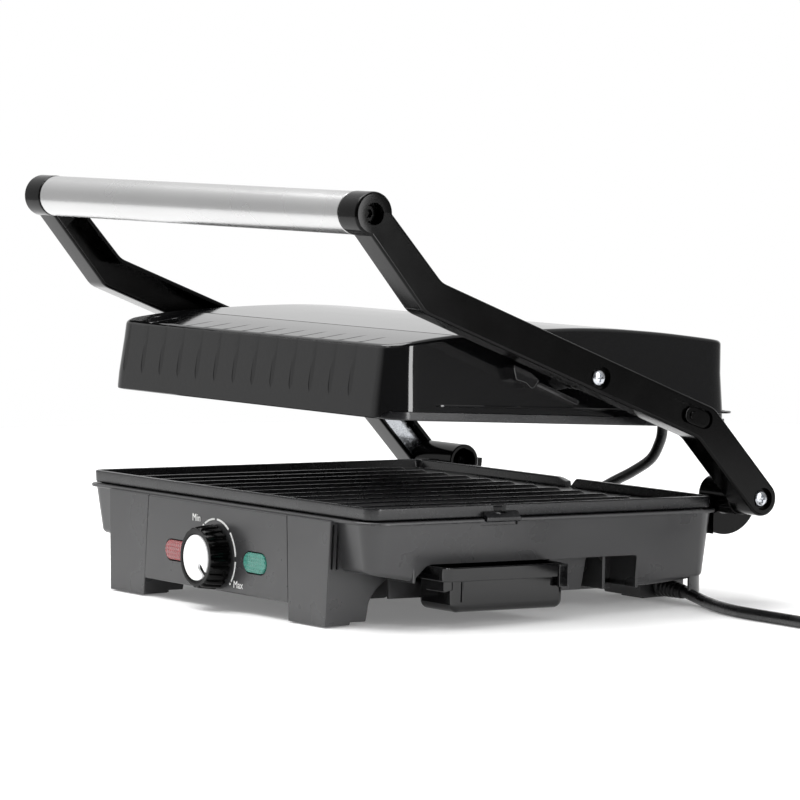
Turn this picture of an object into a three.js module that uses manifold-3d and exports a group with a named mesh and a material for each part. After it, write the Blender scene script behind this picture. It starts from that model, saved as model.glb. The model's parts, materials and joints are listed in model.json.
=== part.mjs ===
// Panini press: a ribbed contact grill with a floating lid on two cranked arms.
// Millimetres. The pieces are laid out on the level of the lower plate's rim: X to the right, Y to the
// back, Z up. The whole press then leans back a little on its feet, so that fat runs to the rear channel.
import * as THREE from "three";
import { mergeVertices } from "three/addons/utils/BufferGeometryUtils.js";
import Module from "manifold-3d";

const wasm = await Module();
wasm.setup();

// ---------------------------------------------------------------- driving dimensions
const CLEARANCE = 0.4; // gap between pieces that touch or pass through each other
const STANCE = THREE.MathUtils.degToRad(1.6); // lean of the press towards its back
const FRONT_Y = -128; // front edge of the front feet, where the lean starts

const RIM = { width: 310, depth: 249, top: 71.5, bottom: 64.4, corner: 8, wall: 4 };
const PLATE = { floorBottom: 60.5, ribTop: 68.6, ribPitch: 24, ribs: 12, ribWidth: 5 };
const CASING = { width: 310, front: -125, back: 126, corner: 12, top: 63.6, wall: 2.5, lip: 3.2 };
const PANEL = { half: 82.3, bottom: 11, top: 62, frontLow: -130.4, frontHigh: -130 };
const LEG = { inner: 81, outerLow: 119.5, outerHigh: 124, front: -130.2, rear: -102.4, footLift: 0.8 };
const REAR_FOOT = { inner: 80, outer: 118, front: 99, rear: 124 };
const RECESS = { depth: 29, y0: -90, y1: 68, top: 38 };
const TRAY = { x0: 128.5, x1: 171, y0: -82, y1: 4, top: 37.4, rimLow: 29.3, bottom: 11.8, wall: 2 };
const KNOB = { z: 31, radius: 19.3, faceRadius: 18, disc: 13.5, length: 12.6, shaft: 3 };
const KNOB_AT_MAX = THREE.MathUtils.degToRad(43); // how far below the right-hand side the pointer stands
const LENS = { offset: 43.7, length: 24.6, height: 12.4 };

const HINGE = { y: 136.7, z: 71.5, sleeve: 11, bore: 8.2, pin: 3, bracket: 24 };
const HANDLE = { y: -145.2, z: 240.5, tube: 12.3, tubeBore: 10.6, half: 165.3, cap: 12.6 };
const ARM = { inner: 165.7, outer: 184.6, wall: 2.6, width: 20.6 };
const PIVOT = { y: 15, z: 145.6, bush: 8 };
const LID_TILT = THREE.MathUtils.degToRad(2.3); // the lid's rear hangs lower than its front
const LID = {
  half: 154.9, front: -127.9, back: 123.4, corner: 13, wall: 2.5, skirt: -23.5, frontSkirt: -28.4,
};
const LID_CROWN = [[-128.2, 12.6], [-81, 20.8], [-23, 26.4], [8, 28.2], [60, 26.8], [123.4, 22.4]];
const LID_PLATE = {
  bottom: -28.8, rimTop: -23.9, floorTop: -20, front: -124.8, back: 123.2, half: 151.2, corner: 12,
};

const CORD = { radius: 3.45, coilRadius: 39, relief: 6.4, reliefLength: 24 };
const PLUG = { radius: 18, length: 46, pin: 2.4, pinLength: 19, pinGap: 19 };

// The lead to the lid: its grommets (base: X and Z on the rear wall; lid: in the lid's own frame), then
// its route between them.
const LEAD_RADIUS = 3.3;
const LEAD_BASE = { x: -37, z: 49 };
const LEAD_LID = { x: 70.5, z: -12 };
const LID_LEAD = [
  [-37, 133.6, 49], [-36.9, 137, 49.1], [-34, 142.6, 50.2], [-27, 147, 52.6], [-15, 149.8, 56.4],
  [0, 150.4, 61.6], [19, 150, 69.2], [39, 150, 77], [57.5, 149.6, 86.2], [67.4, 148.6, 97.6],
  [70.4, 147.8, 105], [71, 147.4, 113], [71, 147.2, 119.2],
];

// The mains lead, on the table's level: it leaves the rear right foot, drops, and runs out to the right.
const FOOT_OUTSIDE = REAR_FOOT.outer;
const CORD_EXIT = { y: 112, z: 14.9 }; // on the level of the rim
const CORD_ROUTE = [
  [142.9, 112, 6.5], [150, 111.6, 5.4], [157, 110.6, 4.5], [164, 108.9, 3.8], [171, 106.6, 3.5],
  [180, 103.3, 3.5], [190, 99.8, 3.5], [201, 96.6, 3.5], [213, 94, 3.5], [225, 92.5, 3.5],
  [238, 91.9, 3.5], [250, 91.7, 3.5], [262, 91.5, 3.5], [274, 91.2, 3.5], [285.8, 90.9, 3.5],
];
const COIL = { x: 312, y: 133 };
const PLUG_TAIL = { x: COIL.x - 27, y: COIL.y + CORD.coilRadius }; // where the coiled lead runs into the plug

// ---------------------------------------------------------------- solids
// A closed three.js geometry as a solid that can be cut and joined.
function solid(geometry) {
  const bare = geometry.index ? geometry.toNonIndexed() : geometry.clone();
  bare.deleteAttribute("normal");
  bare.deleteAttribute("uv");
  const merged = mergeVertices(bare, 1e-4);
  return new wasm.Manifold(
    new wasm.Mesh({
      numProp: 3,
      vertProperties: new Float32Array(merged.attributes.position.array),
      triVerts: new Uint32Array(merged.index.array),
    }),
  );
}

function geometryOf(made) {
  const mesh = made.getMesh();
  const points = new Float32Array(mesh.numVert * 3);
  for (let i = 0; i < mesh.numVert; i++) {
    points.set(mesh.vertProperties.subarray(i * mesh.numProp, i * mesh.numProp + 3), i * 3);
  }
  const geometry = new THREE.BufferGeometry();
  geometry.setAttribute("position", new THREE.BufferAttribute(points, 3));
  geometry.setIndex(new THREE.BufferAttribute(new Uint32Array(mesh.triVerts), 1));
  const flat = geometry.toNonIndexed();
  flat.computeVertexNormals();
  return flat;
}

const join = (first, ...rest) => rest.reduce((sum, next) => sum.add(next), first);
const cut = (first, ...rest) => rest.reduce((left, next) => left.subtract(next), first);
const shapeOf = (points) => new THREE.Shape(points.map(([a, b]) => new THREE.Vector2(a, b)));

function extrude(shape, length, curveSegments = 6) {
  return new THREE.ExtrudeGeometry(shape, { depth: length, bevelEnabled: false, curveSegments });
}

// An outline in the YZ plane, carried along X from x0 to x1.
function prismX(shape, x0, x1) {
  const turn = new THREE.Matrix4().set(0, 0, 1, x0, 1, 0, 0, 0, 0, 1, 0, 0, 0, 0, 0, 1);
  return solid(extrude(shape, x1 - x0).applyMatrix4(turn));
}

// An outline in the XZ plane, carried along Y from y0 to y1.
function prismY(shape, y0, y1) {
  const turn = new THREE.Matrix4().set(1, 0, 0, 0, 0, 0, -1, y1, 0, 1, 0, 0, 0, 0, 0, 1);
  return solid(extrude(shape, y1 - y0).applyMatrix4(turn));
}

// An outline in the XY plane, carried up from z0 to z1.
function prismZ(shape, z0, z1) {
  return solid(extrude(shape, z1 - z0).translate(0, 0, z0));
}

function block(x0, x1, y0, y1, z0, z1) {
  const box = new THREE.BoxGeometry(x1 - x0, y1 - y0, z1 - z0);
  return solid(box.translate((x0 + x1) / 2, (y0 + y1) / 2, (z0 + z1) / 2));
}

function rodX(y, z, radius, x0, x1, sides = 32) {
  const rod = new THREE.CylinderGeometry(radius, radius, x1 - x0, sides);
  return solid(rod.rotateZ(Math.PI / 2).translate((x0 + x1) / 2, y, z));
}

function rodY(x, z, radiusFront, radiusBack, y0, y1, sides = 36) {
  const rod = new THREE.CylinderGeometry(radiusBack, radiusFront, y1 - y0, sides);
  return solid(rod.translate(x, (y0 + y1) / 2, 0).applyMatrix4(new THREE.Matrix4().makeTranslation(0, 0, z)));
}

// A rectangle with round corners, as an outline centred at (cx, cy).
function roundedRect(width, depth, radius, cx = 0, cy = 0) {
  const x0 = cx - width / 2;
  const x1 = cx + width / 2;
  const y0 = cy - depth / 2;
  const y1 = cy + depth / 2;
  const shape = new THREE.Shape();
  shape.moveTo(x0 + radius, y0);
  shape.lineTo(x1 - radius, y0);
  shape.absarc(x1 - radius, y0 + radius, radius, -Math.PI / 2, 0);
  shape.lineTo(x1, y1 - radius);
  shape.absarc(x1 - radius, y1 - radius, radius, 0, Math.PI / 2);
  shape.lineTo(x0 + radius, y1);
  shape.absarc(x0 + radius, y1 - radius, radius, Math.PI / 2, Math.PI);
  shape.lineTo(x0, y0 + radius);
  shape.absarc(x0 + radius, y0 + radius, radius, Math.PI, 1.5 * Math.PI);
  return shape;
}

// A solid through a stack of rounded rectangles: each level is [z, halfWidth, yFront, yBack, radius].
function drafted(levels, cornerSteps = 6) {
  const rings = levels.map(([z, half, front, back, radius]) => {
    const ring = [];
    const corners = [
      [half - radius, front + radius, -Math.PI / 2],
      [half - radius, back - radius, 0],
      [-half + radius, back - radius, Math.PI / 2],
      [-half + radius, front + radius, Math.PI],
    ];
    for (const [cx, cy, start] of corners) {
      for (let i = 0; i <= cornerSteps; i++) {
        const angle = start + (i / cornerSteps) * (Math.PI / 2);
        ring.push([cx + radius * Math.cos(angle), cy + radius * Math.sin(angle), z]);
      }
    }
    return ring;
  });
  const count = rings[0].length;
  const positions = rings.flat();
  const faces = [];
  for (let level = 0; level + 1 < rings.length; level++) {
    for (let i = 0; i < count; i++) {
      const a = level * count + i;
      const b = level * count + ((i + 1) % count);
      faces.push(a, b, b + count, a, b + count, a + count);
    }
  }
  const last = (rings.length - 1) * count;
  for (let i = 1; i + 1 < count; i++) {
    faces.push(0, i + 1, i, last, last + i, last + i + 1);
  }
  const geometry = new THREE.BufferGeometry();
  geometry.setAttribute("position", new THREE.Float32BufferAttribute(positions.flat(), 3));
  geometry.setIndex(faces);
  return solid(geometry);
}

// A round bar along a curve.
function bar(points, radius, sides, steps) {
  const section = new THREE.Shape();
  section.absarc(0, 0, radius, 0, 2 * Math.PI);
  const path = new THREE.CatmullRomCurve3(points.map((p) => new THREE.Vector3(...p)));
  const options = { extrudePath: path, steps, curveSegments: sides / 2, bevelEnabled: false };
  return solid(new THREE.ExtrudeGeometry(section, options));
}

// ---------------------------------------------------------------- colours
const LOOKS = {
  glossBlack: { color: 0x2a2a2c, roughness: 0.18, metalness: 0 },
  satinBlack: { color: 0x17171a, roughness: 0.45, metalness: 0 },
  nonStick: { color: 0x232325, roughness: 0.55, metalness: 0.2 },
  steel: { color: 0xb9bcc0, roughness: 0.3, metalness: 1 },
  brushed: { color: 0xc4c4c2, roughness: 0.35, metalness: 1 },
  aluminium: { color: 0xd0d2d4, roughness: 0.4, metalness: 1 },
  rubber: { color: 0x141416, roughness: 0.8, metalness: 0 },
  white: { color: 0xf2f2f0, roughness: 0.4, metalness: 0 },
  red: { color: 0xb85a58, roughness: 0.2, metalness: 0 },
  green: { color: 0x3f9484, roughness: 0.2, metalness: 0 },
  ceramic: { color: 0xd9d2c2, roughness: 0.7, metalness: 0 },
  brass: { color: 0xc9a94f, roughness: 0.3, metalness: 1 },
};

function piece(name, made, look) {
  const mesh = new THREE.Mesh(geometryOf(made), new THREE.MeshStandardMaterial(LOOKS[look]));
  mesh.name = name;
  return mesh;
}

// ---------------------------------------------------------------- base
// The underside seen from the side: high at the front corners, low from the middle to the back.
const UNDERSIDE = [
  [-140, 36], [-107, 31], [-81, 26.7], [-45, 20.5], [-20, 19], [70, 19], [102, 21], [140, 25],
];

function aboveUnderside(lift, top) {
  const edge = UNDERSIDE.map(([y, z]) => [y, z + lift]);
  return prismX(shapeOf([...edge, [140, top], [-140, top]]), -200, 200);
}

function bowl(inset, lift, top) {
  const half = CASING.width / 2 - inset;
  const front = CASING.front + inset;
  const back = CASING.back - inset;
  const corner = CASING.corner - inset;
  const walls = drafted([
    [5, half - 5.5, front + 4, back - 4, corner],
    [70, half + 0.6, front - 0.4, back + 0.4, corner],
  ]);
  return walls.intersect(aboveUnderside(lift, top));
}

// The deep middle behind the control panel, which holds the thermostat.
function belly(inset) {
  const half = PANEL.half - inset;
  const low = PANEL.bottom + inset;
  const top = inset > 0 ? 61 : PANEL.top;
  const profile = [
    [PANEL.frontLow + inset, low],
    [-62 - inset, low],
    [-44 - inset, 19 + inset],
    [-44 - inset, 40],
    [-112, 40],
    [-112, top],
    [PANEL.frontHigh + inset, top],
  ];
  return prismX(shapeOf(profile), -half, half);
}

// A front leg on the right: a tapering hollow post whose back edge sweeps up under the body.
function frontLeg(inset) {
  const top = inset > 0 ? 25 : PANEL.top;
  const low = inset > 0 ? -5 : LEG.footLift;
  const front = [
    [LEG.inner + 1.5 + inset, top],
    [LEG.inner + inset, low],
    [LEG.outerLow - inset, low],
    [LEG.outerHigh - inset, top],
  ];
  const side = new THREE.Shape();
  side.moveTo(PANEL.frontHigh + inset, PANEL.top);
  side.lineTo(LEG.front + inset, low);
  if (inset > 0) {
    side.lineTo(LEG.rear - inset, low);
  } else {
    side.lineTo(-113.4, low + 0.4);
    side.lineTo(-113, low + 2);
    side.lineTo(LEG.rear, low + 2);
  }
  side.lineTo(LEG.rear + 1 - inset, 9);
  side.quadraticCurveTo(LEG.rear + 3 - inset, 19, -86 - inset, 28);
  side.lineTo(-86 - inset, PANEL.top);
  return prismY(shapeOf(front), -140, -80).intersect(prismX(side, 60, 140));
}

// A short rear foot on the right, with a front face that slopes back down.
function rearFoot(inset) {
  const low = inset > 0 ? 2 : 8.2;
  const profile = [
    [REAR_FOOT.front - 5 + inset, 22],
    [REAR_FOOT.front + inset, low],
    [REAR_FOOT.rear + 6 - inset, low],
    [REAR_FOOT.rear + 6 - inset, 20],
    [REAR_FOOT.rear - 3 - inset, 26 - inset],
  ];
  return prismX(shapeOf(profile), REAR_FOOT.inner + inset, REAR_FOOT.outer - inset);
}

function baseCasing() {
  const w = CASING.wall;
  const lip = [CASING.width / 2 + CASING.lip, CASING.front - 1.2, CASING.back + 3.4, CASING.corner + 3];
  const lipRing = drafted([[CASING.top - 1.8, ...lip], [CASING.top, ...lip]]);
  const leg = frontLeg(0);
  const foot = rearFoot(0);
  let casing = join(bowl(0, 0, CASING.top), lipRing, belly(0), leg, leg.mirror([1, 0, 0]));
  casing = join(casing, foot, foot.mirror([1, 0, 0]));
  casing = join(casing, ...bracketSeats());
  const wallX = CASING.width / 2 - RECESS.depth;
  const recess = block(wallX, 200, RECESS.y0, RECESS.y1, -5, RECESS.top);
  const roomWall = block(wallX - w, 200, RECESS.y0 - w, RECESS.y1 + w, -5, RECESS.top + w);
  const legRoom = frontLeg(3);
  const footRoom = rearFoot(3);
  casing = cut(casing, bowl(w, w, 80).subtract(roomWall), belly(w), recess);
  casing = cut(casing, legRoom, legRoom.mirror([1, 0, 0]), footRoom, footRoom.mirror([1, 0, 0]));
  casing = cut(casing, block(-98, 98, -34, 92, 10, 24));
  casing = cut(casing, block(153.6, 170, -47, -21, 59.4, 80), cordHole(), leadHole());
  const sleeveRoom = rodX(HINGE.y, HINGE.z, HINGE.sleeve + 0.8, 120, 170);
  casing = cut(casing, sleeveRoom, sleeveRoom.mirror([1, 0, 0]));
  return cut(casing, ...panelHoles());
}

// The mains lead leaves through the outer wall of the rear right foot.
function cordHole() {
  return rodX(CORD_EXIT.y, CORD_EXIT.z, 4.8, 112, 122, 20);
}

function leadHole() {
  return rodY(LEAD_BASE.x, LEAD_BASE.z, 4.2, 4.2, 110, 140, 20);
}

// Pads on the rear wall that carry the hinge brackets.
function bracketSeats() {
  return [block(134, 153, 118, 127.4, 44, 60), block(-153, -134, 118, 127.4, 44, 60)];
}

function pill(length, height, cx, cz) {
  return roundedRect(length, height, height / 2 - 0.01, cx, cz);
}

function panelHoles() {
  const y0 = PANEL.frontLow - 2;
  const y1 = PANEL.frontLow + 8;
  const lensHole = (x) => prismY(pill(LENS.length, LENS.height, x, KNOB.z), y0, y1);
  const shaftHole = rodY(0, KNOB.z, KNOB.shaft + 1, KNOB.shaft + 1, y0, y1);
  return [shaftHole, lensHole(-LENS.offset), lensHole(LENS.offset)];
}

function bottomCover() {
  let cover = block(-97.5, 97.5, -33.5, 91.5, 18.4, 20.9);
  for (let i = -4; i <= 4; i++) {
    cover = cut(cover, block(i * 16 - 3, i * 16 + 3, 0, 60, 15, 25));
  }
  return cover;
}

function plateOutline(grow) {
  return roundedRect(RIM.width + 2 * grow, RIM.depth + 2 * grow, Math.max(3, RIM.corner + grow));
}

// The lower plate: floor, raised rim with a drain notch at the back, and ribs that run front to back.
function lowerPlate() {
  let plate = prismZ(plateOutline(0), RIM.bottom, RIM.top);
  plate = join(plate, prismZ(plateOutline(-14), PLATE.floorBottom, RIM.bottom + 0.1));
  plate = cut(plate, prismZ(plateOutline(-RIM.wall), RIM.bottom + 1.4, 90));
  plate = join(plate, ...plateRibs(PLATE.ribTop, RIM.bottom + 1));
  const notch = shapeOf([[4, RIM.bottom + 1.4], [15, RIM.bottom + 1.4], [19, 80], [-1, 80], [-1, 71.6]]);
  plate = cut(plate, prismY(notch, 116, 130));
  const spout = shapeOf([[RIM.width / 2 - 1, 68], [160, 64.3], [160, 60.5], [156.2, 62.4], [154, 64.5]]);
  const beak = prismY(spout, -46, -22);
  const groove = block(150, 170, -38, -30, RIM.bottom + 1.4, 80);
  return cut(join(plate, beak), groove);
}

function plateRibs(top, bottom) {
  const ribs = [];
  for (let i = 0; i < PLATE.ribs; i++) {
    const x = (i - (PLATE.ribs - 1) / 2) * PLATE.ribPitch;
    const half = PLATE.ribWidth / 2;
    const section = shapeOf([[x - half, bottom], [x + half, bottom], [x + 1.1, top], [x - 1.1, top]]);
    ribs.push(prismY(section, -113, 97));
  }
  return ribs;
}

// A U-shaped sheathed heating element that lies under a plate at height z.
function heater(z) {
  const right = [[92, 78, z], [92, 30, z], [92, -40, z], [86, -66, z], [66, -76, z]];
  const left = right.map(([x, y]) => [-x, y, z]).reverse();
  return bar([...right, [0, -76, z], ...left], 3.6, 8, 30);
}

function reflector(zLow, zHigh) {
  const rise = zHigh > zLow ? 1 : -1;
  const z0 = Math.min(zLow, zHigh);
  const z1 = Math.max(zLow, zHigh);
  const pan = prismZ(roundedRect(236, 190, 14), z0, z1);
  const hollow = rise > 0 ? [z0 + 1.2, z1 + 5] : [z0 - 5, z1 - 1.2];
  return cut(pan, prismZ(roundedRect(233, 187, 12.5), ...hollow));
}

function thermostat() {
  const body = prismY(roundedRect(30, 24, 3, 0, KNOB.z), -118, -102);
  const neck = rodY(0, KNOB.z, 6, 6, -120, -117.5);
  const bore = rodY(0, KNOB.z, KNOB.shaft + CLEARANCE, KNOB.shaft + CLEARANCE, -125, -105);
  return cut(join(body, neck), bore);
}

// The knob, its shaft and its disc are drawn about the knob's axis.
function knobShaft() {
  return rodY(0, 0, KNOB.shaft, KNOB.shaft, -138, -106, 20);
}

const KNOB_BACK = PANEL.frontLow - 1.2;
const KNOB_FRONT = KNOB_BACK - KNOB.length;

function knob() {
  const grip = rodY(0, 0, KNOB.faceRadius, KNOB.radius, KNOB_FRONT, KNOB_BACK, 48);
  const dishRadius = KNOB.disc + CLEARANCE;
  const dish = rodY(0, 0, dishRadius, dishRadius, KNOB_FRONT - 1, KNOB_FRONT + 1.4, 40);
  const bore = rodY(0, 0, KNOB.shaft + CLEARANCE, KNOB.shaft + CLEARANCE, -139, -120, 20);
  return cut(grip, dish, bore);
}

function knobDisc() {
  const disc = rodY(0, 0, KNOB.disc, KNOB.disc, KNOB_FRONT - 0.6, KNOB_FRONT + 1, 40);
  return cut(disc, block(8.2, 14, KNOB_FRONT - 5, KNOB_FRONT + 5, -1.3, 1.3));
}

function lens(x) {
  const y = PANEL.frontLow;
  const face = prismY(pill(LENS.length - 0.8, LENS.height - 0.8, x, KNOB.z), y - 0.6, y + 4);
  const flange = prismY(pill(LENS.length + 3, LENS.height + 3, x, KNOB.z), y + 4, y + 6);
  return join(face, flange);
}

function lamp(x) {
  return rodY(x, KNOB.z, 3.2, 3.2, PANEL.frontLow + 6.5, PANEL.frontLow + 22, 16);
}

function terminalBlock() {
  return cut(block(40, 78, 62, 78, 22, 34), block(44, 74, 60, 66, 27, 31));
}

// The tray that catches fat under the spout: a stiff rim, a deep cup and a clip at its rear end.
function dripTray() {
  const t = TRAY;
  const middle = (t.y0 + t.y1) / 2 + 2;
  const depth = t.rimLow - t.bottom;
  const rim = block(t.x0, t.x1, t.y0, t.y1, t.rimLow, t.top);
  const cup = prismX(roundedRect(74, depth + 8, 4, middle, t.bottom + depth / 2 + 4), t.x0 + 1, t.x1 - 4);
  const clip = block(t.x1 - 2, t.x1 + 0.8, t.y1 - 6.5, t.y1 - 0.4, 23.5, t.top - 0.4);
  const inside = roundedRect(74 - 2 * t.wall, 40, 3, middle, t.bottom + t.wall + 20);
  const room = prismX(inside, t.x0 + 1 + t.wall, t.x1 - 4 - t.wall);
  return cut(join(rim, cup, clip), room);
}

// ---------------------------------------------------------------- hinge
// A rear bracket: a rounded lug under the hinge axis, bored for the sleeve.
function hingeBracket(x0, x1) {
  const lug = rodX(HINGE.y, HINGE.z, HINGE.bracket, x0, x1, 48);
  const lower = block(x0 - 1, x1 + 1, CASING.back + 3.9, 200, 40, HINGE.z + 1);
  const web = block(x0, x1, CASING.back + 1.6, HINGE.y, 45, 60.5);
  const round = join(lug.intersect(lower), web);
  return cut(round, rodX(HINGE.y, HINGE.z, HINGE.sleeve + CLEARANCE, x0 - 2, x1 + 2, 48));
}

function hingeSleeve(x0, x1) {
  const tube = rodX(HINGE.y, HINGE.z, HINGE.sleeve, x0, x1, 40);
  return cut(tube, rodX(HINGE.y, HINGE.z, HINGE.bore, x0 - 5, x1 + 5, 32));
}

// A pan-head cross-recess screw along X about a pivot, with its head outwards; side is -1 or 1.
function screwX({ y, z }, side, inner, outer, shank, head) {
  const stem = rodX(y, z, shank, inner, outer, 16);
  const dome = rodX(y, z, head, outer - 2.4, outer, 20);
  const across = block(outer - 1.1, outer + 1, y - 2.2, y + 2.2, z - 0.5, z + 0.5);
  const upright = block(outer - 1.1, outer + 1, y - 0.5, y + 0.5, z - 2.2, z + 2.2);
  const screw = cut(join(stem, dome), across, upright);
  return side > 0 ? screw : screw.mirror([1, 0, 0]);
}

// ---------------------------------------------------------------- arms and handle
// Middle line of an arm, from the handle over two bends to the hinge.
const ARM_LINE = [[HANDLE.y, HANDLE.z], [-103.5, 193], [93.5, 117.5], [HINGE.y, HINGE.z]];

// The arm's outline at a given half width, with round ends and softened bends.
function armOutline(half, endRadius) {
  const v = ARM_LINE.map(([y, z]) => new THREE.Vector2(y, z));
  const direction = (a, b) => v[b].clone().sub(v[a]).normalize();
  const legs = [direction(0, 1), direction(1, 2), direction(2, 3)];
  const normal = (d) => new THREE.Vector2(-d.y, d.x);
  const mitre = (a, b, sign) => {
    const n = normal(a).add(normal(b)).normalize();
    return n.multiplyScalar((sign * half) / n.dot(normal(a)));
  };
  const shape = new THREE.Shape();
  const side = (sign) => {
    const w = [half - 1.2, half, half, half + 0.2];
    const start = v[0].clone().addScaledVector(legs[0], 9).addScaledVector(normal(legs[0]), sign * w[0]);
    const first = v[1].clone().add(mitre(legs[0], legs[1], sign));
    const second = v[2].clone().add(mitre(legs[1], legs[2], sign));
    const end = v[3].clone().addScaledVector(normal(legs[2]), sign * w[3]);
    return [start, first, second, end];
  };
  const soft = 9;
  const upper = side(1);
  const lower = side(-1);
  const bend = (at, from, to) => {
    const a = at.clone().addScaledVector(from, -soft);
    const b = at.clone().addScaledVector(to, soft);
    shape.lineTo(a.x, a.y);
    shape.quadraticCurveTo(at.x, at.y, b.x, b.y);
  };
  shape.moveTo(upper[0].x, upper[0].y);
  bend(upper[1], legs[0], legs[1]);
  bend(upper[2], legs[1], legs[2]);
  shape.lineTo(upper[3].x, upper[3].y);
  const tail = Math.atan2(normal(legs[2]).y, normal(legs[2]).x);
  shape.absarc(v[3].x, v[3].y, endRadius, tail, tail - Math.PI, true);
  shape.lineTo(lower[3].x, lower[3].y);
  bend(lower[2], legs[2].clone().negate(), legs[1].clone().negate());
  bend(lower[1], legs[1].clone().negate(), legs[0].clone().negate());
  shape.lineTo(lower[0].x, lower[0].y);
  return shape;
}

// A moulded arm: a closed outer face, side walls, and a channel that is open towards the lid.
function arm(side) {
  const half = ARM.width / 2;
  let made = prismX(armOutline(half, half + 0.2), ARM.inner, ARM.outer);
  made = join(made, rodX(HANDLE.y, HANDLE.z, HANDLE.cap, ARM.inner, ARM.outer, 40));
  const channel = prismX(armOutline(half - ARM.wall, half - ARM.wall), ARM.inner - 5, ARM.outer - 4.2);
  const bosses = [[HINGE.y, HINGE.z, 6.4], [PIVOT.y, PIVOT.z, 6.4]];
  const keep = bosses.map(([y, z, r]) => rodX(y, z, r, ARM.inner, ARM.outer, 28));
  made = join(cut(made, channel), rodX(HANDLE.y, HANDLE.z, HANDLE.cap, ARM.inner, ARM.outer, 40), ...keep);
  if (side > 0) {
    made = cut(join(made, sliderFrame()), sliderSlot());
  }
  const recesses = [[HINGE.y, HINGE.z, 6, 3], [PIVOT.y, PIVOT.z, 6, 3], [HANDLE.y, HANDLE.z, 6, 9]];
  for (const [y, z, radius, depth] of recesses) {
    made = cut(made, rodX(y, z, 3.4, 150, 200, 20), rodX(y, z, radius, ARM.outer - depth, 200, 28));
  }
  return side > 0 ? made : made.mirror([1, 0, 0]);
}

// Slot for the lock slider, on the outer face just before the rear bend.
const SLOT = { y0: 69.5, z0: 127, y1: 92, z1: 119.7, radius: 5.6 };
const SLOT_DIRECTION = new THREE.Vector2(SLOT.y1 - SLOT.y0, SLOT.z1 - SLOT.z0).normalize();

function slotOutline(radius, from, to) {
  const a = new THREE.Vector2(SLOT.y0, SLOT.z0).addScaledVector(SLOT_DIRECTION, from);
  const b = new THREE.Vector2(SLOT.y0, SLOT.z0).addScaledVector(SLOT_DIRECTION, to);
  const turn = Math.atan2(SLOT_DIRECTION.y, SLOT_DIRECTION.x);
  const shape = new THREE.Shape();
  shape.absarc(b.x, b.y, radius, turn - Math.PI / 2, turn + Math.PI / 2);
  shape.absarc(a.x, a.y, radius, turn + Math.PI / 2, turn + 1.5 * Math.PI);
  return shape;
}

const SLOT_LENGTH = new THREE.Vector2(SLOT.y1 - SLOT.y0, SLOT.z1 - SLOT.z0).length();

function sliderFrame() {
  return prismX(slotOutline(SLOT.radius + 1.4, 0, SLOT_LENGTH), ARM.outer - 8, ARM.outer - 0.1);
}

function sliderSlot() {
  return prismX(slotOutline(SLOT.radius, 0, SLOT_LENGTH), ARM.outer - 6, ARM.outer + 5);
}

function lockSlider() {
  const outline = slotOutline(SLOT.radius - 0.5, SLOT_LENGTH - 9, SLOT_LENGTH);
  const body = prismX(outline, ARM.outer - 5.6, ARM.outer - 1.2);
  const at = new THREE.Vector2(SLOT.y0, SLOT.z0).addScaledVector(SLOT_DIRECTION, SLOT_LENGTH - 8);
  return join(body, rodX(at.x, at.y, 2.6, ARM.outer - 1.5, ARM.outer - 0.2, 20));
}

// The steel strip that stiffens an arm's channel between the lid pivot and the hinge.
function armPlate(side) {
  const x0 = ARM.inner + 8;
  const strip = prismX(armOutline(ARM.width / 2 - ARM.wall - 1, ARM.width / 2 - ARM.wall - 1), x0, x0 + 1.6);
  const kept = strip.intersect(block(x0 - 1, x0 + 3, 24, 200, 0, 300));
  const made = cut(kept, rodX(HINGE.y, HINGE.z, 6.9, x0 - 2, x0 + 4, 24));
  return side > 0 ? made : made.mirror([1, 0, 0]);
}

function handleTube() {
  const tube = rodX(HANDLE.y, HANDLE.z, HANDLE.tube, -HANDLE.half, HANDLE.half, 48);
  return cut(tube, rodX(HANDLE.y, HANDLE.z, HANDLE.tubeBore, -200, 200, 32));
}

// A plastic plug inside each end of the tube, which the handle screw pulls on.
function handlePlug(side) {
  const plug = rodX(HANDLE.y, HANDLE.z, HANDLE.tubeBore - 0.4, 140, HANDLE.half, 24);
  const made = cut(plug, rodX(HANDLE.y, HANDLE.z, 2.6, 130, 200, 16));
  return side > 0 ? made : made.mirror([1, 0, 0]);
}

// ---------------------------------------------------------------- lid, drawn level about its pivot
function lidProfile(drop, low) {
  const crown = LID_CROWN.map(([y, z]) => [y, z - drop]).reverse();
  return shapeOf([[-160, low], [160, low], [160, crown[0][1]], ...crown, [-160, crown.at(-1)[1]]]);
}

function lidBlock(inset, drop, low) {
  const levels = [
    [LID.frontSkirt - 10, LID.half - inset, LID.front + inset, LID.back - inset, LID.corner - inset],
    [12, LID.half - 3 - inset, LID.front + 0.3 + inset, LID.back - 1 - inset, LID.corner - inset],
    [32, LID.half - 5 - inset, LID.front + 2 + inset, LID.back - 3 - inset, LID.corner - inset],
  ];
  return drafted(levels).intersect(prismX(lidProfile(drop, low), -200, 200));
}

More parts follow.
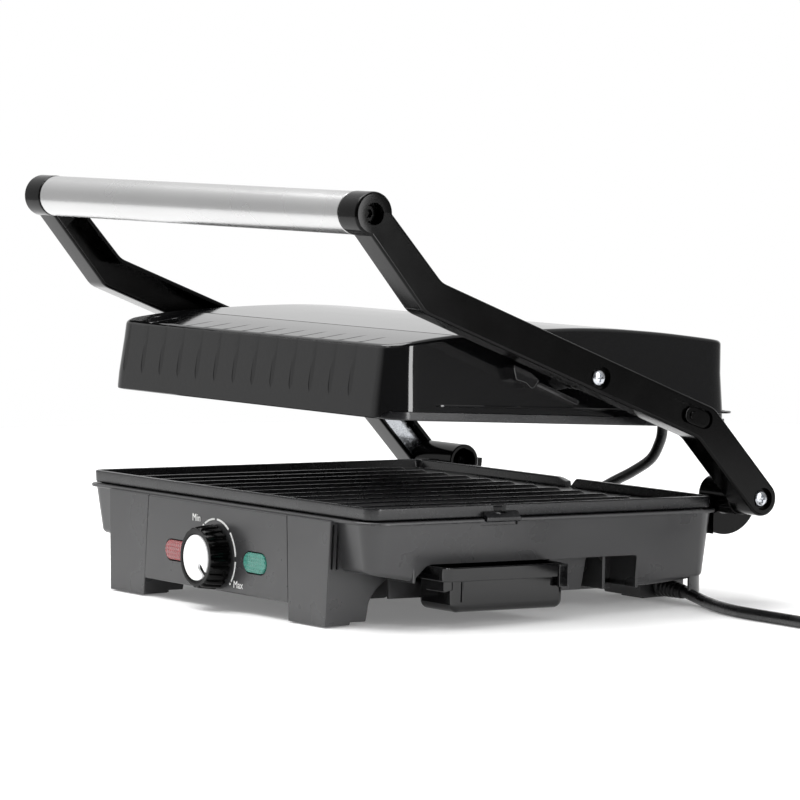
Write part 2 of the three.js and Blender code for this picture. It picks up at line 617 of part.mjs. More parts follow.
function lidCasing() {
  const outer = lidBlock(0, 0, LID.frontSkirt);
  const inner = lidBlock(LID.wall, LID.wall, LID.frontSkirt - 5);
  const sideSkirt = block(-200, 200, LID.front + 14, 200, LID.frontSkirt - 3, LID.skirt);
  const ledge = drafted([
    [-20.4, LID.half + 0.8, LID.front + 26, LID.back + 3, LID.corner],
    [-19, LID.half + 0.8, LID.front + 26, LID.back + 3, LID.corner],
  ]);
  let shell = cut(join(cut(outer, sideSkirt), ledge.subtract(lidBlock(1, 0, -40))), inner);
  for (const side of [-1, 1]) {
    const x0 = side > 0 ? LID.half - 12 : -163;
    const x1 = side > 0 ? 163 : -LID.half + 12;
    shell = join(shell, rodX(0, 0, PIVOT.bush, x0, x1, 28), lidStop(side));
    shell = cut(shell, rodX(0, 0, 3.4, x0 - 5, x1 + 5, 20));
  }
  return cut(shell, rodY(LEAD_LID.x, LEAD_LID.z, 4.2, 4.2, 110, 140, 20));
}

// A small hooked lug on the lid's side, just under the arm.
function lidStop(side) {
  const lug = shapeOf([[-44, 4], [-33, 1], [-27, -3], [-32, -8], [-42, -4]]);
  const made = prismX(lug, LID.half - 6, 160.5);
  return side > 0 ? made : made.mirror([1, 0, 0]);
}

function upperPlate() {
  const p = LID_PLATE;
  const middle = (p.front + p.back) / 2;
  const depth = p.back - p.front;
  const outline = (grow) => {
    const corner = Math.max(3, p.corner + grow);
    return roundedRect(2 * (p.half + grow), depth + 2 * grow, corner, 0, middle);
  };
  let plate = prismZ(outline(0), p.bottom, p.rimTop);
  plate = join(plate, prismZ(outline(-14), p.rimTop - 0.2, p.floorTop));
  plate = cut(plate, prismZ(outline(-4), p.bottom - 5, p.rimTop - 1.5));
  const ribs = [];
  for (let i = 0; i < PLATE.ribs; i++) {
    const x = (i - (PLATE.ribs - 1) / 2) * PLATE.ribPitch;
    const tip = p.bottom + 0.4;
    const root = p.rimTop - 1;
    ribs.push(prismY(shapeOf([[x - 1.1, tip], [x + 1.1, tip], [x + 2.5, root], [x - 2.5, root]]), -110, 110));
  }
  return join(plate, ...ribs);
}

// ---------------------------------------------------------------- leads
// The lead from the base to the lid hangs in an open bow behind the plates.
function lidLead() {
  return bar(LID_LEAD, LEAD_RADIUS, 10, 30);
}

// A grommet on the base's rear wall.
function baseGland() {
  return rodY(LEAD_BASE.x, LEAD_BASE.z, 6.6, 5.6, 127, 133, 24);
}

// A hooded grommet on the lid's rear wall, which the lead enters from below.
function lidGland() {
  const outline = [[127, -20], [139, -20], [139, -9], [134, -3], [123.8, -1], [123.8, -18.4], [127, -18.4]];
  return prismX(shapeOf(outline), LEAD_LID.x - 7, LEAD_LID.x + 7);
}

function mainsCord() {
  return bar(CORD_ROUTE, CORD.radius, 10, 18);
}

// The relief's stub sits in the foot's wall; its taper points out along the lead.
function strainRelief() {
  const points = [
    [0, -6], [4.2, -6], [4.2, 0.5], [CORD.relief, 0.5], [CORD.relief, 4], [CORD.radius + 1.8, 6],
    [CORD.radius + 0.9, CORD.reliefLength], [0, CORD.reliefLength],
  ];
  const turned = new THREE.LatheGeometry(points.map(([r, h]) => new THREE.Vector2(r, h)), 20);
  return solid(turned.rotateZ(-Math.PI / 2));
}

// The outer shape of the coiled rest of the lead.
function cordCoil() {
  const r = CORD.radius;
  const half = r + 0.3;
  const profile = [
    [CORD.coilRadius - 2 * half, 0.05],
    [CORD.coilRadius + 2 * half, 0.05],
    [CORD.coilRadius + 2 * half, 2 * half * 2 - 1.5],
    [CORD.coilRadius - 2 * half, 2 * half * 2 - 1.5],
    [CORD.coilRadius - 2 * half, 0.05],
  ].map(([radius, z]) => new THREE.Vector2(radius, z));
  const ring = new THREE.LatheGeometry(profile, 40);
  return solid(ring.rotateX(Math.PI / 2).translate(COIL.x, COIL.y, 0));
}

// A moulded two-pin plug, drawn along Y with its pins' face at 0.
function plug() {
  const r = PLUG.radius;
  const neck = CORD.radius + 0.95;
  const profile = [
    [0, 0], [r - 1.5, 0], [r, 1.5], [r, 16], [r - 3, 24], [8.5, 34], [neck + 0.8, 40], [neck, PLUG.length],
    [0, PLUG.length],
  ];
  const body = solid(new THREE.LatheGeometry(profile.map(([radius, y]) => new THREE.Vector2(radius, y)), 28));
  const sockets = [-1, 1].map((side) => plugRod(side, PLUG.pin + CLEARANCE, -5, 6));
  return cut(body, ...sockets);
}

function plugRod(side, radius, y0, y1) {
  return rodY((side * PLUG.pinGap) / 2, 0, radius, radius, y0, y1, 16);
}

function plugPin(side) {
  return plugRod(side, PLUG.pin, -PLUG.pinLength, 5.6);
}

// ---------------------------------------------------------------- assembly
// Where a point on the rim's level stands once the press leans back on its feet.
function leaned(y, z) {
  const run = y - FRONT_Y;
  const cosine = Math.cos(STANCE);
  const sine = Math.sin(STANCE);
  return [run * cosine + z * sine + FRONT_Y, z * cosine - run * sine];
}

// The origin is on the table under the middle of the press, from the handle's front to the brackets' back.
const BACK_Y = leaned(HINGE.y, HINGE.z)[0] + HINGE.bracket;
const HANDLE_Y = leaned(HANDLE.y, HANDLE.z)[0] - HANDLE.cap;
const MIDDLE_Y = (BACK_Y + HANDLE_Y) / 2;
const press = new THREE.Group();
const table = new THREE.Group();
table.position.y = -MIDDLE_Y;
const leaning = new THREE.Group();
leaning.position.y = FRONT_Y;
leaning.rotation.x = -STANCE;
const level = new THREE.Group();
level.position.y = -FRONT_Y;
leaning.add(level);
table.add(leaning);
press.add(table);

level.add(piece("base_casing", baseCasing(), "glossBlack"));
level.add(piece("bottom_cover", bottomCover(), "satinBlack"));
level.add(piece("lower_plate", lowerPlate(), "nonStick"));
level.add(piece("lower_heater", heater(55.4), "steel"));
level.add(piece("lower_reflector", reflector(43, 50), "aluminium"));
level.add(piece("thermostat", thermostat(), "ceramic"));
const dial = new THREE.Group();
dial.position.z = KNOB.z;
dial.rotation.y = KNOB_AT_MAX;
dial.add(piece("knob_shaft", knobShaft(), "steel"));
dial.add(piece("knob", knob(), "satinBlack"));
dial.add(piece("knob_disc", knobDisc(), "white"));
level.add(dial);
level.add(piece("power_lens", lens(-LENS.offset), "red"));
level.add(piece("ready_lens", lens(LENS.offset), "green"));
level.add(piece("power_lamp", lamp(-LENS.offset), "ceramic"));
level.add(piece("ready_lamp", lamp(LENS.offset), "ceramic"));
level.add(piece("terminal_block", terminalBlock(), "ceramic"));
level.add(piece("drip_tray", dripTray(), "satinBlack"));

for (const side of [-1, 1]) {
  const name = side < 0 ? "left" : "right";
  const flip = (made) => (side > 0 ? made : made.mirror([1, 0, 0]));
  const inner = side > 0 ? 136 : 124;
  level.add(piece(`hinge_bracket_${name}`, flip(hingeBracket(138, 149)), "satinBlack"));
  level.add(piece(`hinge_sleeve_${name}`, flip(hingeSleeve(inner, ARM.inner - 0.5)), "satinBlack"));
  level.add(piece(`arm_${name}`, arm(side), "satinBlack"));
  level.add(piece(`arm_plate_${name}`, armPlate(side), "steel"));
  level.add(piece(`handle_plug_${name}`, handlePlug(side), "satinBlack"));
  level.add(piece(`hinge_screw_${name}`, screwX(HINGE, side, 150, ARM.outer - 0.4, 2.9, 5.6), "steel"));
  level.add(piece(`pivot_screw_${name}`, screwX(PIVOT, side, 150, ARM.outer - 0.4, 2.9, 5.6), "steel"));
  level.add(piece(`handle_screw_${name}`, screwX(HANDLE, side, 145, ARM.outer - 6, 2.2, 4.6), "steel"));
}
level.add(piece("handle_tube", handleTube(), "brushed"));
level.add(piece("lock_slider", lockSlider(), "satinBlack"));
level.add(piece("lid_lead", lidLead(), "rubber"));
level.add(piece("base_gland", baseGland(), "rubber"));

const lid = new THREE.Group();
lid.position.set(0, PIVOT.y, PIVOT.z);
lid.rotation.x = -LID_TILT;
lid.add(piece("lid_casing", lidCasing(), "glossBlack"));
lid.add(piece("upper_plate", upperPlate(), "nonStick"));
lid.add(piece("upper_heater", heater(-15.8), "steel"));
lid.add(piece("upper_reflector", reflector(-4, -11), "aluminium"));
lid.add(piece("lid_gland", lidGland(), "rubber"));
level.add(lid);

// Rubber pads stand level on the table inside the hollow feet.
function footPad(x, y, depth) {
  return block(x - 11, x + 11, y - depth / 2, y + depth / 2, 0, 5);
}
for (const side of [-1, 1]) {
  const name = side < 0 ? "left" : "right";
  table.add(piece(`front_pad_${name}`, footPad(side * 99, -115, 15), "rubber"));
  table.add(piece(`rear_pad_${name}`, footPad(side * 99, 112.5, 14), "rubber"));
}

const relief = piece("cord_strain_relief", strainRelief(), "rubber");
relief.position.set(FOOT_OUTSIDE, CORD_EXIT.y, 8.3);
relief.rotation.y = 0.075;
table.add(relief);
table.add(piece("mains_cord", mainsCord(), "rubber"));
table.add(piece("cord_coil", cordCoil(), "rubber"));

// The plug lies on its side beside the coil, with its pins away from it.
const plugGroup = new THREE.Group();
plugGroup.position.set(PLUG_TAIL.x - PLUG.length, PLUG_TAIL.y, PLUG.radius + 0.05);
plugGroup.rotation.z = -Math.PI / 2;
plugGroup.add(piece("mains_plug", plug(), "rubber"));
plugGroup.add(piece("plug_pin_live", plugPin(-1), "brass"));
plugGroup.add(piece("plug_pin_neutral", plugPin(1), "brass"));
table.add(plugGroup);

export default press;
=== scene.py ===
"""The looks of a panini press: a ribbed contact grill with a floating lid on two cranked arms.

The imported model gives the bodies, the joints and the places. This file builds the fine meshes
around it, gives every surface the material of the real piece, and sets up a plain studio.
Lengths are millimetres on the level of the lower plate's rim until a frame turns them to metres.
"""
import json
import logging
import math
from collections.abc import Callable
from dataclasses import dataclass
from enum import Enum

import bmesh
import bpy
from mathutils import Matrix, Vector


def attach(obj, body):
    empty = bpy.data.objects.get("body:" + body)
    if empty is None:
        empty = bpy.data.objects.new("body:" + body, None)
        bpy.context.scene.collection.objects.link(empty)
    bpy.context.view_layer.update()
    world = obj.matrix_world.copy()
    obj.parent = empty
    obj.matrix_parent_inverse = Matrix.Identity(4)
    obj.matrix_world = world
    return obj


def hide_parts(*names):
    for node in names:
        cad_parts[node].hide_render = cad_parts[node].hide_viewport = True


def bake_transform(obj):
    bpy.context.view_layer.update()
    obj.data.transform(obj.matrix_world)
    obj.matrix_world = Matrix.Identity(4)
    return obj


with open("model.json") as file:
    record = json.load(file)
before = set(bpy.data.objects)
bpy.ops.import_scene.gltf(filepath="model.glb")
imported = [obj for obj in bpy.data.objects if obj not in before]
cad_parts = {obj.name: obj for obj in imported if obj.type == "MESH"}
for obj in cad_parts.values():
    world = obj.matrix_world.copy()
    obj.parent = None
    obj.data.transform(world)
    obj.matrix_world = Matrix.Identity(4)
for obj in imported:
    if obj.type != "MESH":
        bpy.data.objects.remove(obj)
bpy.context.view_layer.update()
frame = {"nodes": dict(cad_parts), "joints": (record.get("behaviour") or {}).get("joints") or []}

LOG = logging.getLogger("panini_press")
MM = 0.001
Outline = list[tuple[float, float]]
Height = Callable[[float], float]


# ------------------------------------------------------------------ where things are
def joint(name: str) -> dict:
    """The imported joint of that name.

    Args:
        name: the joint's name.

    Returns:
        The joint's row of the record.
    """
    return next(row for row in frame["joints"] if row["name"] == name)


def turned(about: str, degrees: float) -> Matrix:
    """A rotation matrix about one axis.

    Args:
        about: "X", "Y" or "Z".
        degrees: the angle, by the right-hand rule.

    Returns:
        A 4x4 matrix.
    """
    return Matrix.Rotation(math.radians(degrees), 4, about)


def shifted(x: float = 0.0, y: float = 0.0, z: float = 0.0) -> Matrix:
    """A translation matrix."""
    return Matrix.Translation((x, y, z))


HINGE = Vector((0.0, 136.7, 71.5))  # the arms' axis on the rim's level
LID_TILT = 2.3  # degrees that the lid's rear hangs lower than its front
FRONT_FEET_Y = -128.0  # the line about which the press leans back
PANEL_Y = -130.3  # the plane of the control panel and of the legs
KNOB_Z = 31.0
KNOB_TURN = 43.0  # degrees from the right-hand side down to the pointer, at its highest setting
LEAN = math.degrees(math.asin(joint("knob_turn")["axis"][2]))
TO_METRES = Matrix.Diagonal((MM, MM, MM, 1.0))
LEVEL_TURN = Matrix.Translation(joint("lid_open")["pos_m"]) @ turned("X", -LEAN)
LEVEL = LEVEL_TURN @ TO_METRES @ shifted(*(-HINGE))
LID_TURN = turned("X", -LEAN - LID_TILT)
LID_FRAME = Matrix.Translation(joint("lid_level")["pos_m"]) @ LID_TURN @ TO_METRES
LEAN_COS, LEAN_SIN = math.cos(math.radians(LEAN)), math.sin(math.radians(LEAN))
HINGE_ON_TABLE = FRONT_FEET_Y + (HINGE.y - FRONT_FEET_Y) * LEAN_COS + HINGE.z * LEAN_SIN
TABLE_SHIFT = joint("lid_open")["pos_m"][1] / MM - HINGE_ON_TABLE
TABLE = TO_METRES @ shifted(y=TABLE_SHIFT)
KNOB_FRAME = LEVEL @ shifted(z=KNOB_Z) @ turned("Y", KNOB_TURN)


# ------------------------------------------------------------------ forms
class Axis(Enum):
    """The direction along which an outline is carried."""

    X = "x"
    Y = "y"
    Z = "z"

    def place(self, a: float, b: float, along: float) -> Vector:
        """A point from its two outline coordinates and its place along the axis."""
        if self is Axis.X:
            return Vector((along, a, b))
        if self is Axis.Y:
            return Vector((a, along, b))
        return Vector((a, b, along))


class Combine(Enum):
    """How two solids are put together."""

    CUT = "DIFFERENCE"
    JOIN = "UNION"
    SHARE = "INTERSECT"


@dataclass
class Form:
    """A closed surface before it becomes an object."""

    points: list[Vector]
    faces: list[tuple[int, ...]]

    def moved(self, matrix: Matrix) -> "Form":
        """The same form carried by a matrix."""
        return Form([matrix @ point for point in self.points], list(self.faces))

    def mirrored(self) -> "Form":
        """The same form on the other side of the middle plane."""
        return Form([Vector((-p.x, p.y, p.z)) for p in self.points], [face[::-1] for face in self.faces])

    def plus(self, *others: "Form") -> "Form":
        """This form and others as one list of points and faces."""
        points, faces = list(self.points), list(self.faces)
        for other in others:
            faces += [tuple(i + len(points) for i in face) for face in other.faces]
            points += other.points
        return Form(points, faces)


def bands(rows: int, count: int) -> list[tuple[int, ...]]:
    """The faces between neighbouring rings of points.

    Args:
        rows: how many rings there are.
        count: points in each.

    Returns:
        The faces, ring by ring.
    """
    faces: list[tuple[int, ...]] = []
    for row in range(rows - 1):
        low, high = row * count, (row + 1) * count
        for k in range(count):
            after = (k + 1) % count
            faces.append((low + k, low + after, high + after, high + k))
    return faces


def prism(outline: Outline, low: float, high: float, axis: Axis = Axis.X) -> Form:
    """An outline carried along an axis.

    Args:
        outline: (y, z), (x, z) or (x, y) points for the axes X, Y and Z.
        low: where it starts along the axis.
        high: where it ends.
        axis: the direction.

    Returns:
        A closed form.
    """
    count = len(outline)
    points = [axis.place(a, b, along) for along in (low, high) for a, b in outline]
    return Form(points, [tuple(range(count))[::-1], tuple(range(count, 2 * count)), *bands(2, count)])


def block(x: tuple[float, float], y: tuple[float, float], z: tuple[float, float]) -> Form:
    """A box between two values on each axis."""
    return prism([(y[0], z[0]), (y[1], z[0]), (y[1], z[1]), (y[0], z[1])], x[0], x[1])


def filleted(corners: list[tuple[float, float, float]], steps: int = 6) -> Outline:
    """An outline with round corners.

    Args:
        corners: (a, b, radius) for each corner, in order; radius 0 keeps it sharp.
        steps: arc steps for each round corner.

    Returns:
        The outline's points.
    """
    made: Outline = []
    for i, (a, b, radius) in enumerate(corners):
        if radius <= 0:
            made.append((a, b))
            continue
        here = Vector((a, b))
        back = Vector(corners[i - 1][:2]) - here
        ahead = Vector(corners[(i + 1) % len(corners)][:2]) - here
        half = back.angle(ahead) / 2
        run = min(radius / math.tan(half), 0.49 * back.length, 0.49 * ahead.length)
        real = run * math.tan(half)
        centre = here + (back.normalized() + ahead.normalized()).normalized() * (real / math.sin(half))
        first = here + back.normalized() * run - centre
        last = here + ahead.normalized() * run - centre
        sweep = math.atan2(first.x * last.y - first.y * last.x, first.dot(last))
        for k in range(steps + 1):
            angle = sweep * k / steps
            made.append((
                centre.x + first.x * math.cos(angle) - first.y * math.sin(angle),
                centre.y + first.x * math.sin(angle) + first.y * math.cos(angle),
            ))
    return made


def arc(centre: tuple[float, float], radius: float, start: float, end: float, steps: int) -> Outline:
    """Points on a circle from one angle to another, in degrees."""
    angles = [math.radians(start + (end - start) * k / steps) for k in range(steps + 1)]
    return [(centre[0] + radius * math.cos(t), centre[1] + radius * math.sin(t)) for t in angles]


def pill(length: float, height: float, cx: float, cz: float, steps: int = 14) -> Outline:
    """A rectangle with half-round ends."""
    radius = height / 2
    run = length / 2 - radius
    return arc((cx + run, cz), radius, -90, 90, steps) + arc((cx - run, cz), radius, 90, 270, steps)


@dataclass(frozen=True)
class Plan:
    """A rectangle with round corners, seen from above."""

    half: float
    front: float
    back: float
    corner: float

    def rows(self, inset: float, breaks: list[float], steps: int) -> list[tuple[float, float]]:
        """Rows from front to back, as (y, half width).

        Args:
            inset: how far inside the outline.
            breaks: places of the straight sides' rows, from 0 at the front corner to 1.
            steps: rows in each corner.

        Returns:
            The rows.
        """
        half, front, back = self.half - inset, self.front + inset, self.back - inset
        radius = max(self.corner - inset, 0.4)
        turns = [math.radians(90 * k / steps) for k in range(steps + 1)]
        made = [(front + radius * (1 - math.cos(t)), half - radius + radius * math.sin(t)) for t in turns]
        start, run = front + radius, back - front - 2 * radius
        made += [(start + run * share, half) for share in breaks]
        made += [(back - radius * (1 - math.cos(t)), half - radius + radius * math.sin(t)) for t in turns[::-1]]
        return made


def stacked(
    plan: Plan,
    levels: list[tuple[float, Height]],
    breaks: list[float],
    columns: int = 12,
    steps: int = 8,
    capped: bool = True,
) -> Form:
    """A form through a stack of inset outlines, whose heights may follow a curve from front to back.

    Args:
        plan: the outline.
        levels: (inset, height at y) for each level, in order along the surface.
        breaks: rows on the straight sides, as shares of their length.
        columns: cells across the width.
        steps: rows in each corner.
        capped: closes both ends with a grid; without it the last level joins the first.

    Returns:
        A closed form.
    """
    points: list[Vector] = []
    rings: list[Outline] = []
    for inset, height in levels:
        rows = plan.rows(inset, breaks, steps)
        rings.append(rows)
        y, half = rows[0]
        points += [Vector((-half + 2 * half * i / columns, y, height(y))) for i in range(columns + 1)]
        points += [Vector((half, y, height(y))) for y, half in rows[1:-1]]
        y, half = rows[-1]
        points += [Vector((half - 2 * half * i / columns, y, height(y))) for i in range(columns + 1)]
        points += [Vector((-half, y, height(y))) for y, half in rows[-2:0:-1]]
    last = len(rings[0]) - 1
    count = 2 * columns + 2 * last
    faces = bands(len(levels), count)
    if not capped:
        start = (len(levels) - 1) * count
        faces += [(start + i, start + (i + 1) % count, (i + 1) % count, i) for i in range(count)]

    def cap(level: int) -> None:
        """Fills one level with a grid that shares its ring."""
        height = levels[level][1]
        index: dict[tuple[int, int], int] = {}
        for j, (y, half) in enumerate(rings[level]):
            for i in range(columns + 1):
                if j == 0:
                    index[j, i] = level * count + i
                elif j == last:
                    index[j, i] = level * count + 2 * columns + last - i
                elif i == columns:
                    index[j, i] = level * count + columns + j
                elif i == 0:
                    index[j, i] = level * count + count - j
                else:
                    index[j, i] = len(points)
                    points.append(Vector((-half + 2 * half * i / columns, y, height(y))))
        for j in range(last):
            for i in range(columns):
                faces.append((index[j, i], index[j, i + 1], index[j + 1, i + 1], index[j + 1, i]))

    if capped:
        cap(0)
        cap(len(levels) - 1)
    return Form(points, faces)


def flat(value: float) -> Height:
    """A height that is the same everywhere."""
    return lambda _y: value


def between(marks: Outline, at: float) -> float:
    """A value read off marks joined by straight lines; past the last mark it stays the same."""
    for (y0, z0), (y1, z1) in zip(marks, marks[1:]):
        if at <= y1:
            return z0 + (z1 - z0) * (at - y0) / (y1 - y0)
    return marks[-1][1]


def rounding(inset: float, radius: float, steps: int) -> Outline:
    """(inset, drop below the top) from the foot to the crest of a quarter-round edge.

    Args:
        inset: the inset where the edge starts.
        radius: the edge's radius.
        steps: cells round it.

    Returns:
        The pairs, with the drop running from the radius down to 0.
    """
    turns = [math.radians(90 * k / steps) for k in range(steps + 1)]
    return [(inset + radius * (1 - math.cos(t)), radius * (1 - math.sin(t))) for t in turns]


def revolved(profile: Outline, centre: tuple[float, float], axis: Axis, steps: int = 64) -> Form:
    """A profile turned about an axis.

    Args:
        profile: (radius, place along the axis), from end to end.
        centre: where the axis crosses its own plane.
        axis: the axis's direction.
        steps: cells round it.

    Returns:
        A closed form, if the profile starts and ends at radius 0 or where it began.
    """
    points: list[Vector] = []
    for radius, along in profile:
        for k in range(steps):
            angle = 2 * math.pi * k / steps
            across = radius * math.cos(angle), radius * math.sin(angle)
            points.append(axis.place(centre[0] + across[0], centre[1] + across[1], along))
    return Form(points, bands(len(profile), steps))


def smooth_path(points: list[Vector], per_span: int) -> list[Vector]:
    """A Catmull-Rom curve through points."""
    padded = [2 * points[0] - points[1], *points, 2 * points[-1] - points[-2]]
    made: list[Vector] = []
    for a, b, c, d in zip(padded, padded[1:], padded[2:], padded[3:]):
        for k in range(per_span):
            t = k / per_span
            second, third = 2 * a - 5 * b + 4 * c - d, 3 * b - a - 3 * c + d
            made.append(0.5 * (2 * b + (c - a) * t + second * t**2 + third * t**3))
    return [*made, points[-1].copy()]


def tube(path: list[Vector], radius: float | Callable[[float], float], sides: int = 20) -> Form:
    """A round bar along a path, with flat ends.

    Args:
        path: the centreline.
        radius: one radius, or a function of the share of the path.
        sides: sides of its section.

    Returns:
        A closed form.
    """
    across = Vector((0, 0, 1)).cross(path[1] - path[0])
    if across.length < 1e-9:
        across = Vector((1, 0, 0))
    across.normalize()
    points: list[Vector] = []
    for i, here in enumerate(path):
        ahead = path[min(i + 1, len(path) - 1)] - path[max(i - 1, 0)]
        ahead.normalize()
        across = (across - ahead * across.dot(ahead)).normalized()
        other = ahead.cross(across)
        size = radius(i / (len(path) - 1)) if callable(radius) else radius
        for k in range(sides):
            angle = 2 * math.pi * k / sides
            points.append(here + across * size * math.cos(angle) + other * size * math.sin(angle))
    ends = [tuple(range(sides))[::-1], tuple(range(len(points) - sides, len(points)))]
    return Form(points, ends + bands(len(path), sides))


# ------------------------------------------------------------------ objects
def settle(thing: bpy.types.Object) -> None:
    """Puts an object's modifiers into its mesh."""
    bpy.context.view_layer.update()
    made = bpy.data.meshes.new_from_object(thing.evaluated_get(bpy.context.evaluated_depsgraph_get()))
    thing.modifiers.clear()
    thing.data = made


def make(name: str, form: Form, place: Matrix, bevel: float = 0.0, rounds: int = 3) -> bpy.types.Object:
    """An object from a form, with rounded edges.

    Args:
        name: the piece's name.
        form: its surface, in millimetres.
        place: the frame that it is drawn in.
        bevel: the width of its rounded edges, in millimetres.
        rounds: segments of each rounded edge.

    Returns:
        The object, at the origin, with its place in its mesh.
    """
    mesh = bpy.data.meshes.new(name)
    mesh.from_pydata([place @ point for point in form.points], [], form.faces)
    work = bmesh.new()
    work.from_mesh(mesh)
    bmesh.ops.remove_doubles(work, verts=work.verts, dist=1e-7)
    bmesh.ops.recalc_face_normals(work, faces=work.faces)
    work.to_mesh(mesh)
    work.free()
    thing = bpy.data.objects.new(name, mesh)
    bpy.context.scene.collection.objects.link(thing)
    if bevel > 0:
        soften(thing, bevel, rounds)
    return thing


def soften(thing: bpy.types.Object, width: float, rounds: int, applied: bool = True) -> None:
    """Rounds an object's edges.

    Args:
        thing: the object.
        width: the width of the rounded edges, in millimetres.
        rounds: segments of each.
        applied: puts the result into the mesh; otherwise it stays a modifier.
    """
    edge = thing.modifiers.new("edges", "BEVEL")
    edge.width = width * MM
    edge.segments = rounds
    edge.limit_method = "ANGLE"
    edge.angle_limit = math.radians(40)
    if applied:
        settle(thing)


def combined(thing: bpy.types.Object, other: bpy.types.Object, how: Combine) -> bpy.types.Object:
    """Cuts, joins or shares one object with another, which is used up."""
    step = thing.modifiers.new("combine", "BOOLEAN")
    step.operation = how.value
    step.solver = "EXACT"
    step.object = other
    settle(thing)
    bpy.data.objects.remove(other)
    return thing


def cut(thing: bpy.types.Object, *tools: tuple[Form, Matrix]) -> bpy.types.Object:
    """Cuts forms out of an object, one after another."""
    for form, place in tools:
        combined(thing, make("tool", form, place), Combine.CUT)
    return thing


def merged(name: str, things: list[bpy.types.Object]) -> bpy.types.Object:
    """Several objects as one, each keeping its own surface."""
    work = bmesh.new()
    for thing in things:
        work.from_mesh(thing.data)
    mesh = bpy.data.meshes.new(name)
    work.to_mesh(mesh)
    work.free()
    for thing in things:
        bpy.data.objects.remove(thing)
    made = bpy.data.objects.new(name, mesh)
    bpy.context.scene.collection.objects.link(made)
    return made


def shade(thing: bpy.types.Object, sharp: float = 32.0) -> None:
    """Smooth shading with flat faces kept flat and edges over an angle kept sharp."""
    mesh = thing.data
    mesh.shade_smooth()
    mesh.set_sharp_from_angle(angle=math.radians(sharp))
    normals = thing.modifiers.new("normals", "WEIGHTED_NORMAL")
    normals.keep_sharp = True


# ------------------------------------------------------------------ finishes
def linear(code: str) -> tuple[float, float, float, float]:
    """An sRGB hex colour as linear red, green, blue and alpha."""
    parts = [int(code[i:i + 2], 16) / 255 for i in (1, 3, 5)]
    made = [p / 12.92 if p <= 0.04045 else ((p + 0.055) / 1.055) ** 2.4 for p in parts]
    return made[0], made[1], made[2], 1.0


def node(tree: bpy.types.NodeTree, kind: str, inputs: dict | None = None, **settings: object) -> bpy.types.Node:
    """Adds a node with its settings, values and links.

    Args:
        tree: the node tree.
        kind: the node's type.
        inputs: socket name or number to a value, or to the output socket that feeds it.
        settings: the node's own properties.

    Returns:
        The node.
    """
    made = tree.nodes.new(kind)
    for name, value in settings.items():
        setattr(made, name, value)
    for name, value in (inputs or {}).items():
        if isinstance(value, bpy.types.NodeSocket):
            tree.links.new(value, made.inputs[name])
        else:
            made.inputs[name].default_value = value
    return made


def blend(tree: bpy.types.NodeTree, share: bpy.types.NodeSocket, a: object, b: object) -> bpy.types.NodeSocket:
    """Mixes two colours, given as values or sockets.

    Args:
        tree: the material's nodes.
        share: how much of the second colour.
        a: the first colour.
        b: the second colour.

    Returns:
        The mixed colour.
    """
    sockets = {0: share, 6: a, 7: b}  # the factor and the two colours of a mix of colours
    return node(tree, "ShaderNodeMix", sockets, data_type="RGBA").outputs[2]


def per_metre(size_mm: float) -> float:
    """The texture scale whose pattern repeats every so many millimetres."""
    return 1000.0 / size_mm


